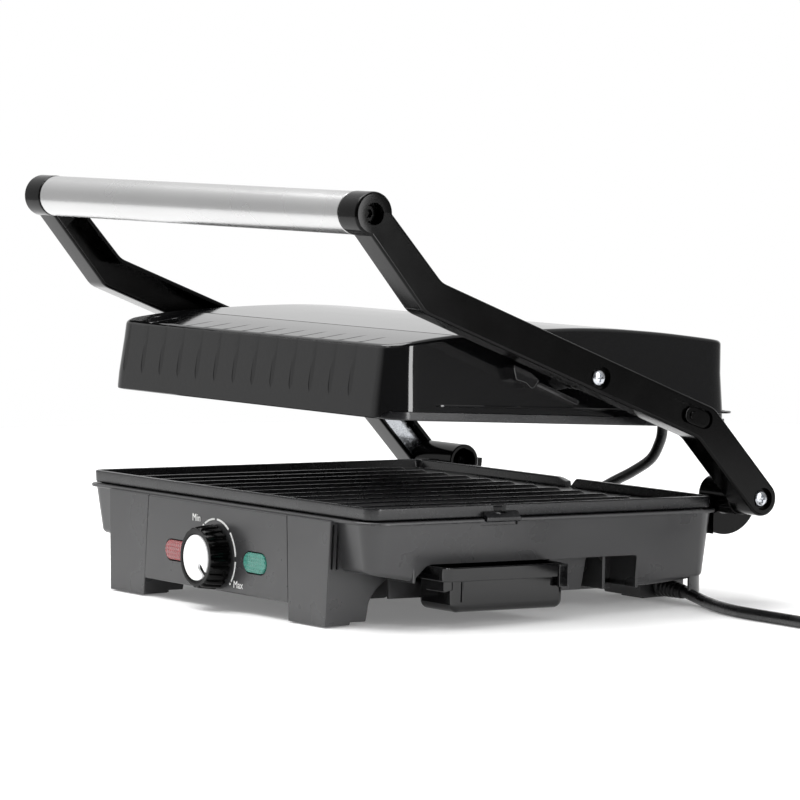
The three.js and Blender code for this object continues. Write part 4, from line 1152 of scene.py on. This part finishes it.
# ------------------------------------------------------------------ control panel
@dataclass
class Controls:
    """The knob, its dial print and the two lenses."""

    face: float = PANEL_Y
    knob_back: float = PANEL_Y - 1.3
    knob_length: float = 12.6
    knob_radius: float = 19.3
    disc_radius: float = 13.5
    ribs: int = 22
    dial_radius: float = 22.4
    print_thick: float = 0.12

    def knob(self) -> None:
        """The knob: a ring of grip ribs round a dished face."""
        back, length = self.knob_back, self.knob_length
        rings = [(back, 1.0, 0.9), (back - 0.6, 1.0, 1.0), (back - length * 0.5, 0.975, 1.0),
                 (back - length + 1.4, 0.945, 1.0), (back - length + 0.5, 0.915, 0.6),
                 (back - length, 0.875, 0.0)]
        points: list[Vector] = []
        per = 8
        count = self.ribs * per
        for y, scale, depth in rings:
            for k in range(count):
                wave = abs((k % per) / per - 0.5) * 2
                dip = 1.15 * depth * min(1.0, max(0.0, (wave - 0.45) * 3.2))
                radius = self.knob_radius * scale - dip
                angle = 2 * math.pi * k / count
                points.append(Vector((radius * math.cos(angle), y, radius * math.sin(angle))))
        dish = [(self.disc_radius + 1.3, back - length), (self.disc_radius + 0.7, back - length + 0.3),
                (self.disc_radius + 0.6, back - length + 1.5), (0.01, back - length + 1.5)]
        for radius, y in dish:
            for k in range(count):
                angle = 2 * math.pi * k / count
                points.append(Vector((radius * math.cos(angle), y, radius * math.sin(angle))))
        back_end, front_end = tuple(range(count)), tuple(range(len(points) - count, len(points)))
        faces = [back_end, *bands(len(rings) + len(dish), count), front_end]
        grip = make("knob_grip", Form(points, faces), KNOB_FRAME)
        dress(grip, Look.SATIN, "knob", ("knob",), 28)

    def disc(self) -> None:
        """The white disc with its pointer notch."""
        front = self.knob_back - self.knob_length
        profile = [(0, front + 1.2), (self.disc_radius, front + 1.2), (self.disc_radius, front + 0.1),
                   (self.disc_radius - 0.5, front - 0.25), (self.disc_radius * 0.6, front - 0.5),
                   (0, front - 0.6)]
        face = make("knob_face", revolved(profile, (0, 0), Axis.Y, 72), KNOB_FRAME)
        slot = arc((7.6, 0), 2.1, 90, 270, 12) + [(20.0, -1.4), (20.0, 1.4)]
        cut(face, (prism(slot, front - 5, front + 4, Axis.Y), KNOB_FRAME))
        dress(face, Look.DISC, "knob", ("knob_disc",))

    def dial(self) -> None:
        """The printed dial: four dashes between two dots."""
        y = self.face
        first = self.stroke(122, 93, y)
        rest = [self.stroke(a, b, y) for a, b in ((86.5, 51), (44, 5), (-3, -36))]
        dots = []
        for angle in (127.5, -41):
            turn = math.radians(angle)
            at = (self.dial_radius * math.cos(turn), KNOB_Z + self.dial_radius * math.sin(turn))
            dots.append(prism(arc(at, 0.75, 0, 337.5, 15), y - self.print_thick, y + 0.4, Axis.Y))
        thing = make("dial_print", first.plus(*rest, *dots), LEVEL)
        dress(thing, Look.PRINT, "base")

    def stroke(self, start: float, end: float, y: float) -> Form:
        """One dash of the dial."""
        outline = arc((0, KNOB_Z), self.dial_radius + 0.55, start, end, 10)
        outline += arc((0, KNOB_Z), self.dial_radius - 0.55, end, start, 10)
        return prism(outline, y - self.print_thick, y + 0.4, Axis.Y)

    def word(self, text: str, x: float, z: float) -> None:
        """A generic word beside the dial.

        Args:
            text: the word.
            x: its middle.
            z: its middle, above the rim's zero level.
        """
        data = bpy.data.curves.new("word", "FONT")
        data.body = text
        data.size = 6.2
        data.align_x = "CENTER"
        data.align_y = "CENTER"
        data.extrude = 0.2
        source = bpy.data.objects.new("word", data)
        bpy.context.scene.collection.objects.link(source)
        bpy.context.view_layer.update()
        mesh = bpy.data.meshes.new_from_object(source.evaluated_get(bpy.context.evaluated_depsgraph_get()))
        bpy.data.objects.remove(source)
        mesh.transform(LEVEL @ shifted(x, self.face + 0.05, z) @ turned("X", 90))
        thing = bpy.data.objects.new("dial_word_" + text.lower(), mesh)
        bpy.context.scene.collection.objects.link(thing)
        dress(thing, Look.PRINT, "base")

    def lens(self, name: str, x: float, look: Finish, slot: str, node_name: str) -> None:
        """A pill-shaped lens that stands a little proud of its well."""
        form = prism(pill(24.0, 11.9, x, KNOB_Z, 16), self.face - 0.8, self.face + 5, Axis.Y)
        thing = make(name, form, LEVEL, 0.9, 4)
        dress(thing, look, "base", (node_name,))

    def build(self) -> None:
        """Everything on the control panel."""
        self.knob()
        self.disc()
        self.dial()
        self.word("Min", -21.5, KNOB_Z + 21.5)
        self.word("Max", 25.8, KNOB_Z - 14.6)
        self.lens("power_lens_cover", -43.7, Look.RED, "red_lens", "power_lens")
        self.lens("ready_lens_cover", 43.7, Look.GREEN, "green_lens", "ready_lens")
        dress_cad("knob_shaft", Look.ZINC)


# ------------------------------------------------------------------ drip tray
@dataclass
class DripTray:
    """The tray under the spout: a stiff rim, a deep cup and a clip at its rear end."""

    x: tuple[float, float] = (128.5, 171.0)
    y: tuple[float, float] = (-82.0, 4.0)
    top: float = 37.4
    rim_low: float = 29.3
    bottom: float = 10.8

    def build(self) -> None:
        """The whole tray."""
        middle = shifted((self.x[0] + self.x[1]) / 2, 0, 0)
        rim_plan = Plan((self.x[1] - self.x[0]) / 2, self.y[0], self.y[1], 5.0)
        rim = [(2.2, flat(self.top - 6)), (2.0, flat(self.top - 0.6)), (1.5, flat(self.top)),
               (0.5, flat(self.top)), (0.0, flat(self.top - 0.5)), (0.3, flat(self.rim_low + 0.5)),
               (0.8, flat(self.rim_low)), (4.6, flat(self.rim_low)), (4.6, flat(self.top - 6))]
        ring = make("ring", stacked(rim_plan, rim, [0.5], 4, 8, capped=False), LEVEL @ middle)
        cup_plan = Plan(18.75, -74.0, 5.0, 5.0)
        levels: list[tuple[float, Height]] = [(6.6, flat(self.bottom + 2)), (3.2, flat(self.bottom + 3.4)),
                                              (2.2, flat(self.bottom + 6)), (1.9, flat(self.rim_low + 1.6)),
                                              (0.0, flat(self.rim_low + 1.6))]
        levels += [(inset, flat(self.bottom + drop)) for inset, drop in rounding(0.3, 5.0, 5)]
        cup = make("cup", stacked(cup_plan, levels, [0.33, 0.66], 4, 8), LEVEL @ shifted(148.6, 0, 0))
        clip = make("clip", block((169.4, 171.8), (-2.6, 3.6), (23.5, self.top - 0.6)), LEVEL, 0.5, 2)
        hook = make("hook", block((158, 170), (3.2, 5.2), (34.6, 36.8)), LEVEL, 0.4, 2)
        side = filleted([(-79.5, 29.4, 0), (-79.5, 22.6, 1), (-73.6, 24.2, 1), (-73.6, 29.4, 0)])
        heel = prism(side, 147, 165)
        lug = make("lug", heel, LEVEL, 0.4, 2)
        rib = make("rib", block((167.4, 168.2), (-68.6, -67.6), (17, 29.4)), LEVEL, 0.3, 2)
        tray = merged("drip_tray_cup", [ring, cup, clip, hook, lug, rib])
        dress(tray, Look.GLOSS, "tray", ("drip_tray",))


# ------------------------------------------------------------------ hinge, arms and handle
@dataclass
class Screw:
    """A pan-head screw with a cross recess, its head outwards along X."""

    radius: float = 4.7

    def build(
        self, name: str, y: float, z: float, face: float, side: int, node_name: str, look: Finish
    ) -> None:
        """One screw.

        Args:
            name: the piece's name.
            y: its place on the rim's level.
            z: its height.
            face: where the head's top is, along X.
            side: -1 for left, 1 for right.
            node_name: the CAD node that it replaces.
            look: its finish.
        """
        head: Outline = [(0, face - 34), (2.8, face - 34), (2.8, face - 2.6), (self.radius, face - 2.6),
                         (self.radius, face - 1.4)]
        for k in range(1, 7):
            turn = math.radians(90 * k / 6)
            head.append((self.radius * math.cos(turn), face - 1.4 + 1.4 * math.sin(turn)))
        thing = make(name, sided(revolved(head, (y, z), Axis.X, 40), side), LEVEL)
        long, short, deep = 2.5, 0.55, 1.5  # half lengths and depth of the cross recess
        for a, b in ((long, short), (short, long)):
            arm = block((face - deep, face + 2), (y - a, y + a), (z - b, z + b))
            cut(thing, (sided(arm, side), LEVEL))
        dress(thing, look, "arms", (node_name,))


@dataclass
class Arms:
    """Two cranked arms, the tube between them, and the hinge that they turn in."""

    inner: float = 165.7
    outer: float = 184.6
    half: float = 10.3
    wall: float = 2.6
    handle: tuple[float, float] = (-145.2, 240.5)
    pivot: tuple[float, float] = (15.0, 145.6)
    cap: float = 12.6
    tube_radius: float = 12.3
    tube_half: float = 165.3
    bends: tuple[tuple[float, float], ...] = ((-103.5, 193.0), (93.5, 117.5))
    slot: tuple[tuple[float, float], tuple[float, float]] = ((69.5, 127.0), (92.0, 119.7))

    def outline(self, half: float, end: float, front: float = 0.0) -> Outline:
        """The arm seen from the side, at a given half width.

        Args:
            half: half its width.
            end: the radius of its round end at the hinge.
            front: how far short of the handle it starts.

        Returns:
            The outline.
        """
        line = [Vector(self.handle), *(Vector(b) for b in self.bends), Vector((HINGE.y, HINGE.z))]
        ways = [(b - a).normalized() for a, b in zip(line, line[1:])]
        sides = [Vector((-w.y, w.x)) for w in ways]

        def mitre(i: int, sign: int) -> Vector:
            """The corner of the outline at a bend."""
            both = (sides[i] + sides[i + 1]).normalized()
            return line[i + 1] + both * (sign * half / both.dot(sides[i]))

        start = line[0] + ways[0] * front
        upper = [start + sides[0] * (half - 1.0), mitre(0, 1), mitre(1, 1), line[3] + sides[2] * half]
        lower = [start - sides[0] * (half - 1.0), mitre(0, -1), mitre(1, -1), line[3] - sides[2] * half]
        tail = math.degrees(math.atan2(sides[2].y, sides[2].x))
        radii = [0, 14, 12]
        corners = [(p.x, p.y, r) for p, r in zip(upper[:3], radii)]
        round_end = arc((HINGE.y, HINGE.z), end, tail, tail - 180, 24)
        corners += [(a, b, 0) for a, b in round_end]
        corners += [(p.x, p.y, r) for p, r in zip(lower[2::-1], radii[::-1])]
        return filleted(corners, 7)

    def slot_outline(self, radius: float, start: float, end: float) -> Outline:
        """The lock slot, or a part of it, as a pill along its own direction."""
        a, b = (Vector(p) for p in self.slot)
        way = (b - a).normalized()
        turn = math.degrees(math.atan2(way.y, way.x))
        first, last = a + way * start, a + way * end
        far = arc(tuple(last), radius, turn - 90, turn + 90, 12)
        return far + arc(tuple(first), radius, turn + 90, turn + 270, 12)

    def slot_length(self) -> float:
        """The distance between the slot's two round ends."""
        return (Vector(self.slot[1]) - Vector(self.slot[0])).length

    def arm(self, side: int) -> None:
        """One arm: outer face, side walls and an open channel towards the lid."""
        whole = prism(self.outline(self.half, self.half, 4), self.inner, self.outer)
        body = make("arm", sided(whole, side), LEVEL, 1.7, 3)
        knuckle = revolved([(0, self.inner), (self.cap, self.inner), (self.cap, self.outer), (0, self.outer)],
                           self.handle, Axis.X, 72)
        combined(body, make("tool", sided(knuckle, side), LEVEL, 1.7, 3), Combine.JOIN)
        within = self.half - self.wall
        channel = prism(self.outline(within, within, 19), self.inner - 5, self.outer - 4.2)
        cut(body, (sided(channel, side), LEVEL))
        for centre in (self.pivot, (HINGE.y, HINGE.z)):
            low, high = self.inner + 0.2, self.outer - 3
            boss = revolved([(0, low), (6.4, low), (6.4, high), (0, high)], centre, Axis.X, 36)
            combined(body, make("tool", sided(boss, side), LEVEL, 0.4, 2), Combine.JOIN)
        wells = ((self.pivot, 7.0, 3.2), ((HINGE.y, HINGE.z), 6.8, 3.2), (self.handle, 6.4, 8.0))
        for centre, radius, depth in wells:
            low, high = self.outer - depth, self.outer + 2
            well = revolved([(0, low), (radius - 0.3, low), (radius, high), (0, high)], centre, Axis.X, 40)
            cut(body, (sided(well, side), LEVEL))
        if side > 0:
            opening = prism(self.slot_outline(5.6, 0, self.slot_length()), self.outer - 3.6, self.outer + 4)
            cut(body, (opening, LEVEL))
        dress(body, Look.SATIN, "arms", (f"arm_{side_name(side)}",), 30)

    def handle_end(self, side: int) -> None:
        """The socket-headed screw deep in the arm's end."""
        face = self.outer - 6
        head: Outline = [(0, face - 33), (2.2, face - 33), (2.2, face - 3), (4.9, face - 3), (4.9, face - 0.6),
                         (4.4, face), (0, face)]
        name = side_name(side)
        thing = make(f"handle_bolt_{name}", sided(revolved(head, self.handle, Axis.X, 40), side), LEVEL)
        socket = prism(arc(self.handle, 2.7, 0, 300, 5), face - 2.2, face + 2)
        cut(thing, (sided(socket, side), LEVEL))
        dress(thing, Look.SATIN, "arms", (f"handle_screw_{name}",))

    def tube(self) -> None:
        """The brushed tube with its rolled ends."""
        r, h = self.tube_radius, self.tube_half
        profile: Outline = [(r - 1.7, -h), (r - 0.3, -h), (r, -h + 0.3)]
        spans = 10
        profile += [(r, -h + 2 * h * k / spans) for k in range(1, spans)]
        profile += [(r, h - 0.3), (r - 0.3, h), (r - 1.7, h), (r - 1.7, -h)]
        thing = make("handle_bar", revolved(profile, self.handle, Axis.X, 96), LEVEL)
        dress(thing, Look.BRUSHED, "arms", ("handle_tube",))

    def slider(self) -> None:
        """The lock slider in its slot, with a small grip boss."""
        length = self.slot_length()
        slide = prism(self.slot_outline(5.0, length - 9, length), self.outer - 3.4, self.outer - 1.3)
        base = make("slide", slide, LEVEL, 0.5, 2)
        way = (Vector(self.slot[1]) - Vector(self.slot[0])).normalized()
        at = Vector(self.slot[0]) + way * (length - 8)
        boss = revolved([(0, self.outer - 1.6), (2.7, self.outer - 1.6), (2.7, self.outer - 0.7),
                         (2.3, self.outer - 0.2), (0, self.outer - 0.2)], tuple(at), Axis.X, 28)
        ring = prism(self.slot_outline(3.9, length - 4, length), self.outer - 1.4, self.outer - 0.9)
        thing = merged("lock_slide", [base, make("boss", boss, LEVEL), make("ring", ring, LEVEL, 0.2, 2)])
        dress(thing, Look.SATIN, "lock", ("lock_slider",))

    def hinge(self, side: int) -> None:
        """A bracket behind the base and the hollow sleeve that turns in it."""
        name = side_name(side)
        lug = arc((HINGE.y, HINGE.z), 24.0, -112, 0, 30)
        profile = [*lug, (HINGE.y + 24, HINGE.z + 0.8), (HINGE.y + 11.8, HINGE.z + 0.8)]
        profile += arc((HINGE.y, HINGE.z), 11.6, 4, -184, 26)
        profile += [(129.9, HINGE.z - 2), (129.9, 61), (127.6, 60.5), (127.6, 48)]
        bracket = make(f"bracket_{name}", sided(prism(profile, 138, 149), side), LEVEL, 0.7, 2)
        dress(bracket, Look.SATIN, "base", (f"hinge_bracket_{name}",))
        start = 136.0 if side > 0 else 124.0
        end = self.inner - 0.5
        profile = [(8.2, start + 0.6), (8.8, start), (10.4, start), (11.0, start + 0.6), (11.0, end - 0.6),
                   (10.4, end), (8.2, end), (8.2, start + 0.6)]
        sleeve = make(f"sleeve_{name}", sided(revolved(profile, (HINGE.y, HINGE.z), Axis.X, 56), side), LEVEL)
        dress(sleeve, Look.SATIN, "hinge_sleeves", (f"hinge_sleeve_{name}",))

    def build(self) -> None:
        """Arms, handle and hinge on both sides."""
        self.tube()
        for side in (-1, 1):
            name = side_name(side)
            self.arm(side)
            self.handle_end(side)
            self.hinge(side)
            for part, (y, z) in (("pivot", self.pivot), ("hinge", (HINGE.y, HINGE.z))):
                stands_for = f"{part}_screw_{name}"
                Screw().build(f"{part}_bolt_{name}", y, z, self.outer - 0.5, side, stands_for, Look.ZINC)
            dress_cad(f"arm_plate_{name}", Look.ZINC)
            dress_cad(f"handle_plug_{name}", Look.SATIN)
        self.slider()


# ------------------------------------------------------------------ lid
@dataclass
class Lid:
    """The lid's glossy shell and its ribbed plate, drawn level about the lid's pivot."""

    plan: Plan = Plan(154.9, -127.9, 123.4, 18.0)
    wall: float = 2.5
    skirt: float = -23.5
    front_skirt: float = -28.4
    draft: float = 3.4
    edge: float = 2.6
    crease: float = -81.0
    flutes: int = 13
    flute_pitch: float = 20.8
    flute_shift: float = 9.0  # how far the crisp sides stand left of an even spread

    def crown(self, y: float) -> float:
        """The height of the top along the middle: flatter ahead of the crease, then a long low arch."""
        marks = [(-128.2, 12.9), (-110, 16.4), (-95, 19.0), (-81, 20.9), (-52, 23.6), (-23, 25.9), (6, 27.6),
                 (34, 27.8), (68, 26.6), (95, 24.7), (123.4, 22.2)]
        return between(marks, y)

    def smooth_crown(self, y: float) -> float:
        """The crown with its small steps evened out, apart from the crease."""
        reach = 9.0 if abs(y - self.crease) > 9 else max(abs(y - self.crease), 0.5)
        return sum(self.crown(y + reach * k / 4) for k in range(-4, 5)) / 9

    def shell(self) -> bpy.types.Object:
        """The shell: inside, rim, walls, rounded top edge and crown."""
        w = self.wall
        levels: list[tuple[float, Height]] = [
            (self.draft + w + 2, lambda y: self.smooth_crown(y) - w),
            (self.draft + w, lambda y: self.smooth_crown(y) - w - 2),
            (w, flat(self.front_skirt)),
            (0.5, flat(self.front_skirt)),
            (0.0, flat(self.front_skirt + 0.5)),
            (0.5, flat(-18.0)),
            (self.draft * 0.8, flat(3.0)),
        ]
        for inset, drop in rounding(self.draft, self.edge, 7):
            levels.append((inset, lambda y, drop=drop: self.smooth_crown(y) - drop))
        start = self.plan.front + self.plan.corner
        run = self.plan.back - self.plan.front - 2 * self.plan.corner
        crease = (self.crease - start) / run
        breaks = sorted([k / 30 for k in range(1, 30)] + [crease - 0.003, crease + 0.003])
        shell = make("lid", stacked(self.plan, levels, breaks, 16, 12), LID_FRAME)
        seam = [Vector((x, self.crease, self.smooth_crown(self.crease) + 0.25)) for x in (-160, 160)]
        cut(shell, (tube(seam, 0.8, 12), LID_FRAME))
        cut(shell, *[(form, LID_FRAME) for form in self.below_skirt()])
        return shell

    def below_skirt(self) -> list[Form]:
        """What the mould leaves out below the skirt, which sweeps up as it turns each front corner."""
        flank = self.plan.half - self.plan.corner - 1.0
        lift = self.skirt - self.front_skirt
        steps = [k / 10 for k in range(11)]
        front, far, low = self.plan.front, 200.0, -40.0
        sweep = [(front - 0.1 + 5.4 * t, self.front_skirt + lift * t * t * (3 - 2 * t)) for t in steps]
        corner = [(front - 0.4, low), *sweep, (far, self.skirt), (far, low)]
        y = front + self.wall
        middle = [(y, low), (y, self.front_skirt), (y + lift, self.skirt), (far, self.skirt), (far, low)]
        under = prism(middle, -flank - 0.5, flank + 0.5)
        return [prism(corner, -far, -flank), under, prism(corner, flank, far)]

    def flute(self, x: float) -> Form:
        """A shallow flute with one crisp side, up the front and over the edge."""
        front, top = self.plan.front, self.smooth_crown(self.plan.front + self.draft + self.edge)
        path: list[tuple[float, float, float, float]] = []  # y, z, outward y, outward z
        for t in (0.0, 0.06, 0.15, 0.5, 0.8, 1.0):
            z = -17.0 + (top - self.edge + 17.0) * t
            inset = self.draft * (z + 28) / (top + 28)
            path.append((front + inset, z, -1.0, 0.05))
        for k in range(1, 6):
            turn = math.radians(90 * k / 6)
            path.append((front + self.draft + self.edge * (1 - math.cos(turn)),
                         top - self.edge * (1 - math.sin(turn)), -math.cos(turn), math.sin(turn)))
        for run in (3.0, 8.0, 13.0, 16.0, 18.0):
            y = front + self.draft + self.edge + run
            path.append((y, self.smooth_crown(y), -0.16, 0.98))
        points: list[Vector] = []
        last = len(path) - 1
        for i, (y, z, ny, nz) in enumerate(path):
            on_top = i > 10
            deep = {0: 0.03, 1: 0.2, 2: 0.3, last: 0.03, last - 1: 0.5}.get(i, 0.9 if on_top else 0.4)
            left, right = {0: (-2.6, -2.0), 1: (-3.8, -0.8), 2: (-4.4, -0.2), last: (-0.5, 0.0)}.get(
                i, (-1.6, 0.0) if on_top else (-4.6, 0.0))
            wall = min(0.35, 0.45 * (right - left))
            section = ((left - 0.3, 0.6), (left + wall, -0.3 * deep), (right - wall, -deep), (right + 0.3, 0.6))
            for x_at, off in section:
                points.append(Vector((x + x_at, y + ny * off, z + nz * off)))
        ends = [(3, 2, 1, 0), tuple(range(len(points) - 4, len(points)))]
        return Form(points, ends + bands(len(path), 4))

    def ledge(self) -> bpy.types.Object:
        """The thin ledge round the sides and the back, just above the skirt."""
        plan = Plan(self.plan.half + 0.8, -102.0, self.plan.back + 3.0, 13.0)
        section = [(3.6, -19.0), (0.3, -19.0), (0.0, -19.3), (0.0, -20.1), (0.3, -20.4), (3.6, -20.4)]
        levels = [(inset, flat(z)) for inset, z in section]
        thing = make("ledge", stacked(plan, levels, [0.5], 4, 8, capped=False), LID_FRAME)
        front = block((-170, 170), (-130, -98), (-25, -15))
        middle = block((-150.5, 150.5), (-110, 118), (-25, -15))
        return cut(thing, (front, LID_FRAME), (middle, LID_FRAME))

    def boss(self, side: int) -> list[bpy.types.Object]:
        """The pivot bush and the hooked lug beside it."""
        ring = [(3.4, 142.9), (8.0, 142.9), (8.0, 162.4), (7.4, 163.0), (3.4, 163.0), (3.4, 142.9)]
        bush = revolved(ring, (0, 0), Axis.X, 40)
        hook = [(-46, 6, 1.5), (-33, 1.5, 1), (-26, -3, 1), (-31, -9, 2), (-36, -5, 1), (-43, -3.5, 1.5)]
        lug = prism(filleted(hook), 148, 160.5)
        rail = prism(filleted([(-24, -4.2, 1), (6, -14.5, 1), (4, -17.5, 1), (-27, -6.5, 1)]), 148, 157.5)
        return [make("bush", sided(bush, side), LID_FRAME), make("lug", sided(lug, side), LID_FRAME, 0.5, 2),
                make("rail", sided(rail, side), LID_FRAME, 0.5, 2)]

    def plate(self) -> None:
        """The upper plate: a rim that shows below the skirt, and ribs that face down."""
        plan = Plan(154.2, -123.4, 122.6, 12.0)
        low, rim_top = -28.8, -23.9
        levels = [(4.6, flat(-25.4)), (3.8, flat(low + 0.9)), (3.2, flat(low + 0.2)), (2.6, flat(low)),
                  (1.0, flat(low)), (0.3, flat(low + 0.3)), (0.0, flat(low + 0.9)), (0.4, flat(rim_top)),
                  (3.4, flat(rim_top)), (14.0, flat(rim_top + 0.2)), (14.6, flat(-20.0))]
        rim = make("rim", stacked(plan, levels, [k / 6 for k in range(1, 6)], 6, 10), LID_FRAME)
        pattern = LowerPlate(top=-low, bottom=-rim_top, floor=25.4, rib_top=28.2)
        ribs = make("ribs", pattern.ribbed(-110, 110).moved(turned("Y", 180)), LID_FRAME)
        thing = merged("upper_grill_plate", [rim, ribs])
        dress(thing, Look.NON_STICK, "lid", ("upper_plate",), 38)

    def build(self) -> None:
        """The shell with its flutes, and the plate."""
        shell = self.shell()
        middle = (self.flutes - 1) / 2
        places = [(i - middle) * self.flute_pitch - self.flute_shift for i in range(self.flutes)]
        first, *rest = [self.flute(x) for x in places]
        cut(shell, (first.plus(*rest), LID_FRAME))
        whole = merged("lid_shell", [shell, self.ledge(), *self.boss(-1), *self.boss(1)])
        dress(whole, Look.GLOSS, "lid", ("lid_casing",), 28)
        self.plate()


# ------------------------------------------------------------------ lead to the lid
@dataclass
class LidLead:
    """The lead that bows from the base's back wall to the lid's, in three stretches cut from one line."""

    radius: float = 3.3

    def line(self) -> list[Vector]:
        """The centreline, on the rim's level."""
        points = [
            (-37, 131.5, 49), (-37, 133.6, 49), (-36.9, 137, 49.1), (-34, 142.6, 50.2), (-27, 147, 52.6),
            (-15, 149.8, 56.4), (0, 150.4, 61.6), (19, 150, 69.2), (39, 150, 77), (57.5, 149.6, 86.2),
            (67.4, 148.6, 97.6), (70.4, 147.8, 105), (71, 147.4, 113), (71, 147.2, 119.2), (71, 147.1, 121.5),
        ]
        return smooth_path([Vector(p) for p in points], 6)

    def build(self) -> None:
        """Three stretches, each between two neighbouring bodies."""
        line = self.line()
        cuts = [0, len(line) * 55 // 100, len(line) * 76 // 100, len(line) - 1]
        pairs = [("base", "hinge_sleeves"), ("hinge_sleeves", "arms"), ("arms", "lid")]
        names = ["lid_lead_lower", "lid_lead_middle", "lid_lead_upper"]
        for name, (first, last), (a, b) in zip(names, zip(cuts, cuts[1:]), pairs):
            stretch = line[first:last + 1]
            thing = make(name, tube(stretch, self.radius, 20), LEVEL)
            shade(thing, 60)
            thing.data.materials.append(Look.SHEATH.material())
            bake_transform(thing)
            if name == names[0]:
                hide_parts("lid_lead")
            LOG.info("%s bends between %s and %s", name, a, b)
        dress_cad("base_gland", Look.RUBBER, 0.4)
        dress_cad("lid_gland", Look.RUBBER, 0.6)


# ------------------------------------------------------------------ inside and below
@dataclass
class Inside:
    """The pieces that the CAD model already gives, with their finishes."""

    def build(self) -> None:
        """Dresses each of them."""
        looks = {
            "bottom_cover": (Look.SATIN, 0.5),
            "lower_heater": (Look.HEATER, 0.0),
            "upper_heater": (Look.HEATER, 0.0),
            "lower_reflector": (Look.SHEET, 0.0),
            "upper_reflector": (Look.SHEET, 0.0),
            "thermostat": (Look.CERAMIC, 0.3),
            "terminal_block": (Look.CERAMIC, 0.3),
            "power_lamp": (Look.CERAMIC, 0.0),
            "ready_lamp": (Look.CERAMIC, 0.0),
        }
        for name, (look, smooth) in looks.items():
            dress_cad(name, look, smooth)
        for row in ("front", "rear"):
            for side in (-1, 1):
                dress_cad(f"{row}_pad_{side_name(side)}", Look.PAD, 0.6)


def main() -> None:
    """Builds the studio and the press, in order."""
    logging.basicConfig(level=logging.INFO, format="%(message)s")
    for part in (Studio(), MainsLead(), Base(), LowerPlate(), Controls(), DripTray(), Arms(), Lid(), LidLead(),
                 Inside()):
        part.build()


if __name__ == "__main__":
    main()
